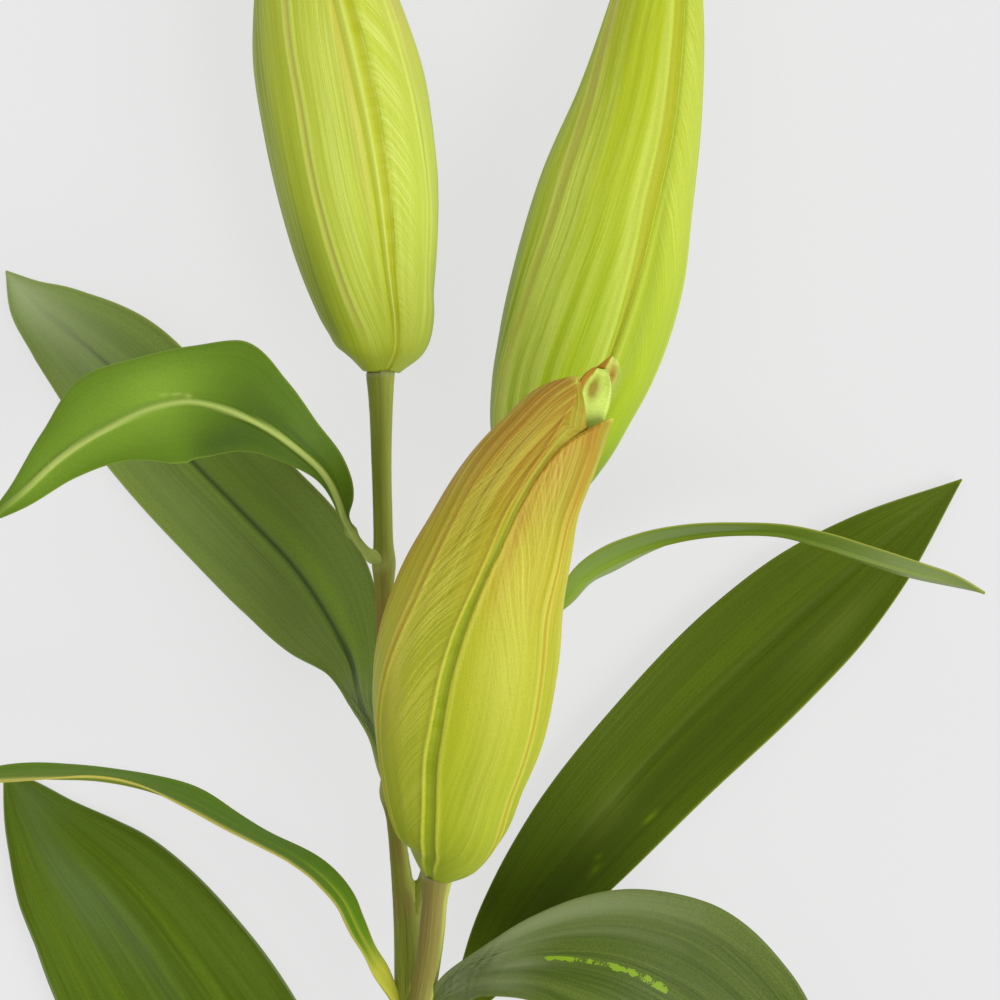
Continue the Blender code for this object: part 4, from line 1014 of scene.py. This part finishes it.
def leafMaterial(leaf):
    look = {
        key: toned(value, leaf["tone"]) if isinstance(value, tuple) else value
        for key, value in {**leafLooks[leaf["look"]], **leaf["own"]}.items()
    }
    material, tree, shader = newMaterial(f"{leaf['name']}Skin", look["roughness"], look["gloss"])
    across, along, side = readLayer(tree, "place")
    acrossMm, alongMm, dashes = readLayer(tree, "size")
    midrib, margin, foot = readLayer(tree, "marks")
    dark, light, paintedSheen = readLayer(tree, "tints")
    streaks = useGroup(tree, streakGroup, across, along, 26, 2.5, leaf["seed"] * 3.7)[0]
    wide, mottle = useGroup(tree, streakGroup, across, along, 8, 3, leaf["seed"] * 1.9)
    specks, clouds = useGroup(tree, speckGroup, acrossMm, alongMm, leaf["seed"] * 2.3)
    over = mixColors(tree, times(tree, mottle, leafShares["mottle"]), look["top"], look["topDark"])
    under = mixColors(tree, times(tree, clouds, leafShares["clouds"]), look["under"], look["top"])
    ragged = softStep(tree, times(tree, dashes, scaled(tree, specks, 0.5, clouds)), *leafShares["ragged"])
    color = painted(tree, mixColors(tree, side, under, over), (
        (streaks, look["veins"], look["vein"]),
        (wide, leafShares["wide"] * look["veins"], look["vein"]),
        # painted shade where the blade bends away from the light or lies under the parts above it
        (dark, 1, look["topDark"]),
        # paler patches and veins of the leaf's own colour; on the left arched leaf, painted light on its lit part
        (light, 1, look["light"]),
        (specks, look["specks"], look["topDark"]),
        (midrib, look["rib"], look["midrib"]),
        # painted sheen: a greyish reflection laid on as colour where the sheen spots are
        (paintedSheen, 1, look["paintedSheen"]),
        (margin, 1, look["margin"]),
        (foot, 1, look["petiole"]),
        (ragged, 1, look["light"]),
    ))
    height = maths(tree, "ADD", times(tree, streaks, 0.6), times(tree, wide, 0.8))
    height = maths(tree, "ADD", height, times(tree, specks, 0.5))
    finishMaterial(tree, shader, color, height, *leafShares["bump"])
    return material


def makeLeaf(leaf, rowsAlong, columns):
    start = routeAt(stemForm[leaf["carrier"]], leaf["foot"])[0]
    knots = [(*row, leaf["roll"])[:5] for row in leaf["rows"]]
    knots = np.asarray([(*start[:3], *knots[0][3:])] + knots, float)
    lengths = runningLength(knots)
    along = np.linspace(0, 1, rowsAlong) ** 1.1
    alongMm = along * lengths[-1]
    rows = smoothThrough(lengths, knots, alongMm)
    skews = (0, *(leaf["skews"] or (0,) * len(leaf["rows"])))
    skew = smoothThrough(lengths, skews, alongMm)[:, None]
    direction = unit(np.gradient(rows[:, :3], axis=0))
    side = unit(np.cross(direction, upwards))
    roll = np.radians(rows[:, 4])[:, None]
    side = side * np.cos(roll) + np.cross(direction, side) * np.sin(roll)
    top = np.cross(side, direction)
    u = np.linspace(-1, 1, columns)
    u = np.sign(u) * (0.6 * np.abs(u) + 0.4 * np.abs(u) ** 0.7)[None, :]
    away = np.abs(u)
    t = along[:, None]

    # the foot is round and narrow, the blade thin and a little wavy
    footShare = leaf["footShare"]
    foot = np.clip(1 - t / footShare, 0, 1)
    collar = sum((swell * hump(t - place, width) for place, width, swell in leaf["collars"]), 0 * t)
    half = np.maximum(rows[:, 3:4] + collar, 0.08)
    cup = leaf["cup"] * half * np.minimum(1, t / 0.2)
    fromMiddle = u * half - skew * away
    wave = away ** 2.5 * rippleNoise(t * 9 + 2 * np.sign(u), leaf["seed"])
    wave = leafForm["wave"] * wave * fade(0.15, 0.4, t) * fade(0, 0.25, 1 - t)
    for place, turn, placeWidth, turnWidth, depth in leaf["wrinkles"]:
        creases = rippleNoise(t * 150 + u * 9, leaf["seed"] + 40)
        creases = creases + rippleNoise(u * 24 + t * 30, leaf["seed"] + 41)
        wave = wave + depth * creases * hump(t - place, placeWidth) * hump(u - turn, turnWidth)
    crease = hump(fromMiddle, leafForm["grooveWidth"]) * (1 - foot)
    middle = leafForm["blade"] + (leafForm["foot"] + collar - leafForm["blade"]) * foot
    rounding = np.sqrt(np.clip(1 - away ** 2, 0, 1))
    height = cup * u * u + 0.5 * middle * foot + wave
    height = height - leafForm["groove"] * crease * fade(0, 0.12, 1 - t)
    height = height + foot * 0.5 * (rounding - 1) * middle
    edgeRound = 1 - np.clip((away - 0.93) / 0.07, 0, 1) ** 2
    blade = leafForm["edge"] + (leafForm["blade"] - leafForm["edge"]) * (1 - away)
    thickness = foot * middle * (0.15 + 0.85 * rounding) + (1 - foot) * blade
    thickness = thickness * (0.35 + 0.65 * edgeRound)
    ribTaper = (1 - foot) * fade(0, 0.3, 1 - t)
    rib = leafForm["rib"] * (1 - fade(0.35, 0.95, np.abs(fromMiddle))) * ribTaper
    flat = rows[:, None, :3] + fromMiddle[..., None] * side[:, None]
    front = flat + height[..., None] * top[:, None]
    back = flat + (height - thickness - rib)[..., None] * top[:, None]

    ribWidth = leafLooks[leaf["look"]]["ribWidth"]
    midribMask = (1 - fade(0.6 * ribWidth, 1.2 * ribWidth, np.abs(fromMiddle))) * fade(0, 0.2, 1 - t)
    marginMask = fade(0.35, 0, (1 - away) * half) * 0.7
    footMask = np.clip(1 - fade(0.25 * footShare, 1.05 * footShare, t) + collar, 0, 1)
    marks = vectors(midribMask, marginMask, footMask)
    tints = vectors(*(spotSum(leaf["spots"].get(key, ()), t, u) for key in ("dark", "light", "paintedSheen")))
    first, last = leaf["dashes"]
    dashed = hump(fromMiddle, leafForm["dashWidth"]) * (t > first) * (t < last) * 1.3
    size = vectors(fromMiddle, alongMm[:, None], dashed)
    layers = {
        "place": (vectors(u, t, 1), vectors(u, t, 0)),
        "size": (size, size), "marks": (marks, marks), "tints": (tints, tints),
    }
    shell(f"{leaf['name']}_blade", front, back, layers, leafMaterial(leaf), leaf["name"])


for seed, leaf in enumerate(leaves, 1):
    net = leafForm["lowerNet" if leaf["name"].startswith("leaf_low") else "net"]
    makeLeaf({**leafDefaults, "seed": seed, **leaf}, *net)
print("leaves dressed:", len(leaves))


def tubeInto(editor, rows, turns=28):
    rows = np.asarray(rows, float)
    direction = unit(np.gradient(rows[:, :3], axis=0))
    right = unit(np.cross(direction, upwards))
    up = np.cross(right, direction)
    angles = np.linspace(0, 2 * math.pi, turns, endpoint=False)
    ring = np.cos(angles)[None, :, None] * right[:, None] + np.sin(angles)[None, :, None] * up[:, None]
    points = rows[:, None, :3] + rows[:, None, 3:4] * ring
    corners = [[editor.verts.new(point) for point in row] for row in points.tolist()]
    for low, high in zip(corners[:-1], corners[1:]):
        for k in range(turns):
            editor.faces.new((low[k], low[(k + 1) % turns], high[(k + 1) % turns], high[k]))
    editor.faces.new(corners[0])
    editor.faces.new(corners[-1][::-1])


def stemRows(route, nodes, spacing=1):
    route = np.asarray(route, float)
    y = np.arange(route[0, 1], route[-1, 1], spacing).tolist() + [route[-1, 1]]
    rows = routeAt(route, y)
    for node in nodes:
        rows[:, 3] += stemForm["nodeSwelling"] * hump(rows[:, 1] - node, stemForm["nodeHalfLength"])
    return rows


def stemMesh(nodes):
    # the stem and its stalks, as one skin over three tubes
    editor = bmesh.new()
    tubeInto(editor, stemRows(stemForm["main"], nodes))
    cut = bmesh.ops.bisect_plane(
        editor, geom=editor.verts[:] + editor.edges[:] + editor.faces[:],
        plane_co=stemForm["cutPoint"], plane_no=stemForm["cutNormal"], clear_inner=True,
    )
    rim = [item for item in cut["geom_cut"] if isinstance(item, bmesh.types.BMEdge)]
    bmesh.ops.edgeloop_fill(editor, edges=rim)
    tubeInto(editor, stemRows(stemForm["rightStalk"], []))
    tubeInto(editor, stemRows(stemForm["frontStalk"], []))
    bmesh.ops.recalc_face_normals(editor, faces=editor.faces)
    rough = bpy.data.meshes.new("stemTubes")
    editor.to_mesh(rough)
    editor.free()
    holder = addObject("stemTubes", rough)
    remesh = holder.modifiers.new("join", "REMESH")
    remesh.mode = "VOXEL"
    remesh.voxel_size = stemForm["voxel"]
    smooth = holder.modifiers.new("soften", "SMOOTH")
    smooth.factor = 0.5
    smooth.iterations = 5
    mesh = bpy.data.meshes.new_from_object(holder.evaluated_get(bpy.context.evaluated_depsgraph_get()))
    bpy.data.objects.remove(holder, do_unlink=True)
    bpy.data.meshes.remove(rough)
    mesh.name = "stem_skin"
    return mesh


def makeStem():
    nodes = [leaf["foot"] for leaf in leaves if "carrier" not in leaf]
    mesh = stemMesh(nodes)
    points = np.zeros(len(mesh.vertices) * 3)
    mesh.vertices.foreach_get("co", points)
    points = points.reshape(-1, 3)
    nearest = np.full(len(points), np.inf)
    turn, stalk = np.zeros(len(points)), np.zeros(len(points))
    routes = ("main", "rightStalk", "frontStalk")
    for index, key in enumerate(routes):
        rows = stemRows(stemForm[key], [], 0.5)
        y = np.clip(points[:, 1], rows[0, 1], rows[-1, 1])
        x, z, radius = (np.interp(y, rows[:, 1], rows[:, c]) for c in (0, 2, 3))
        distance = np.hypot(np.hypot(points[:, 0] - x, points[:, 2] - z), points[:, 1] - y) - radius
        closer = distance < nearest
        nearest = np.where(closer, distance, nearest)
        turn = np.where(closer, np.arctan2(points[:, 0] - x, points[:, 2] - z), turn)
        stalk = np.where(closer, float(index), stalk)
    cutDistance = (points - np.array(stemForm["cutPoint"])) @ np.array(stemForm["cutNormal"])
    points[:, 2] = np.maximum(points[:, 2], 0)
    along = points[:, 1]
    nodeMask = sum(hump(along - y, 1.6) for y in nodes) * (stalk == 0)
    blush = sum(strength * hump(along - y, width) * (stalk == k) for k, y, width, strength in stemForm["blush"])
    collar = sum(hump(along - stemForm[key][-1][1], 0.9) * (stalk == k) for k, key in enumerate(routes))
    layers = {
        "place": vectors(turn, along, stalk),
        "marks": vectors(1 - fade(0.05, 0.5, cutDistance), np.clip(nodeMask, 0, 1), np.sin(turn)),
        "tints": vectors(np.clip(blush, 0, 1), np.clip(collar, 0, 1), 0),
    }
    mesh.vertices.foreach_set("co", ((points - modelOrigin) * mm).ravel())
    mesh.update()
    dress("stem_skin", mesh, layers, stemMaterial(), "stem")
    print("stem dressed:", len(mesh.polygons), "faces")


def stemMaterial():
    material, tree, shader = newMaterial("stemSkin", 0.5, 0.2)
    colors = {key: toned(color) for key, color in stemLook.items()}
    turn, along, stalk = readLayer(tree, "place")
    cut, node, rightness = readLayer(tree, "marks")
    blush, collar = readLayer(tree, "tints")[:2]
    streaks = useGroup(tree, streakGroup, turn, along, 3, 0.05, 2)[0]
    blotches = noiseAt(tree, pointOf(tree, turn, times(tree, along, 0.06), stalk), 1, 2)
    patchy = scaled(tree, softStep(tree, blotches, 0.4, 0.62), 0.5, 0.5)
    middle = times(tree, softStep(tree, stalk, 1.4, 1.8), softStep(tree, rightness, 0.85, 0.5))
    # painted light and shade: darker on the left of the stem, lighter on its right, towards the lamp
    color = mixColors(tree, softStep(tree, rightness, -0.2, 1), colors["paintedShadeSide"], colors["paintedLitSide"])
    color = painted(tree, color, (
        (streaks, 0.35, colors["streak"]),
        (times(tree, blush, patchy), softStep(tree, rightness, 1.1, 0.3), colors["blush"]),
        (middle, 0.6, colors["frontStalk"]),
        (node, 0.5, colors["node"]),
        (collar, 0.5, colors["collar"]),
        (cut, 1, colors["cut"]),
    ))
    finishMaterial(tree, shader, color, streaks, 0.0002, 0.6)
    return material


makeStem()

studio = {  # the surface it lies on and the light
    "floorSize": 8,
    "floor": (0.1, 0.1, 0.1, 1),
    "floorGlow": 0.695,
    "white": (1, 1, 1, 1),
    "airStrength": 0.5,
    "lamps": {  # strength, lean about x and y in degrees, spread
        "softKey": (2.5, 18, 46, 45),
        "softFill": (0.7, -30, -36, 60),
    },
}
camera = {"place": (0.01213, 0.09595, 1.02), "lens": 200, "sensor": 36, "near": 0.01, "far": 50}


def makeStudio():
    reach = 0.5 * studio["floorSize"]
    corners = [(-reach, -reach, 0), (reach, -reach, 0), (reach, reach, 0), (-reach, reach, 0)]
    mesh = bpy.data.meshes.new("floor")
    mesh.from_pydata(corners, [], [(0, 1, 2, 3)])
    material, _, shader = newMaterial("floorPaint", 0.9, 0.1)
    shader.inputs["Base Color"].default_value = studio["floor"]
    shader.inputs["Emission Color"].default_value = studio["white"]
    shader.inputs["Emission Strength"].default_value = studio["floorGlow"]
    mesh.materials.append(material)
    addObject("floor", mesh)
    world = bpy.data.worlds.new("studioAir")
    world.use_nodes = True
    air = world.node_tree.nodes["Background"]
    air.inputs["Color"].default_value = studio["white"]
    air.inputs["Strength"].default_value = studio["airStrength"]
    bpy.context.scene.world = world
    for name, (strength, leanX, leanY, spread) in studio["lamps"].items():
        lamp = bpy.data.lights.new(name, "SUN")
        lamp.energy = strength
        lamp.angle = math.radians(spread)
        addObject(name, lamp).rotation_euler = (math.radians(leanX), math.radians(leanY), 0)


def makeCamera():
    lens = bpy.data.cameras.new("camera")
    lens.lens = camera["lens"]
    lens.sensor_width = camera["sensor"]
    lens.clip_start = camera["near"]
    lens.clip_end = camera["far"]
    eye = addObject("camera", lens)
    eye.location = camera["place"]
    bpy.context.scene.camera = eye
    bpy.context.scene.view_settings.view_transform = "Standard"


makeStudio()
makeCamera()
print("studio ready")
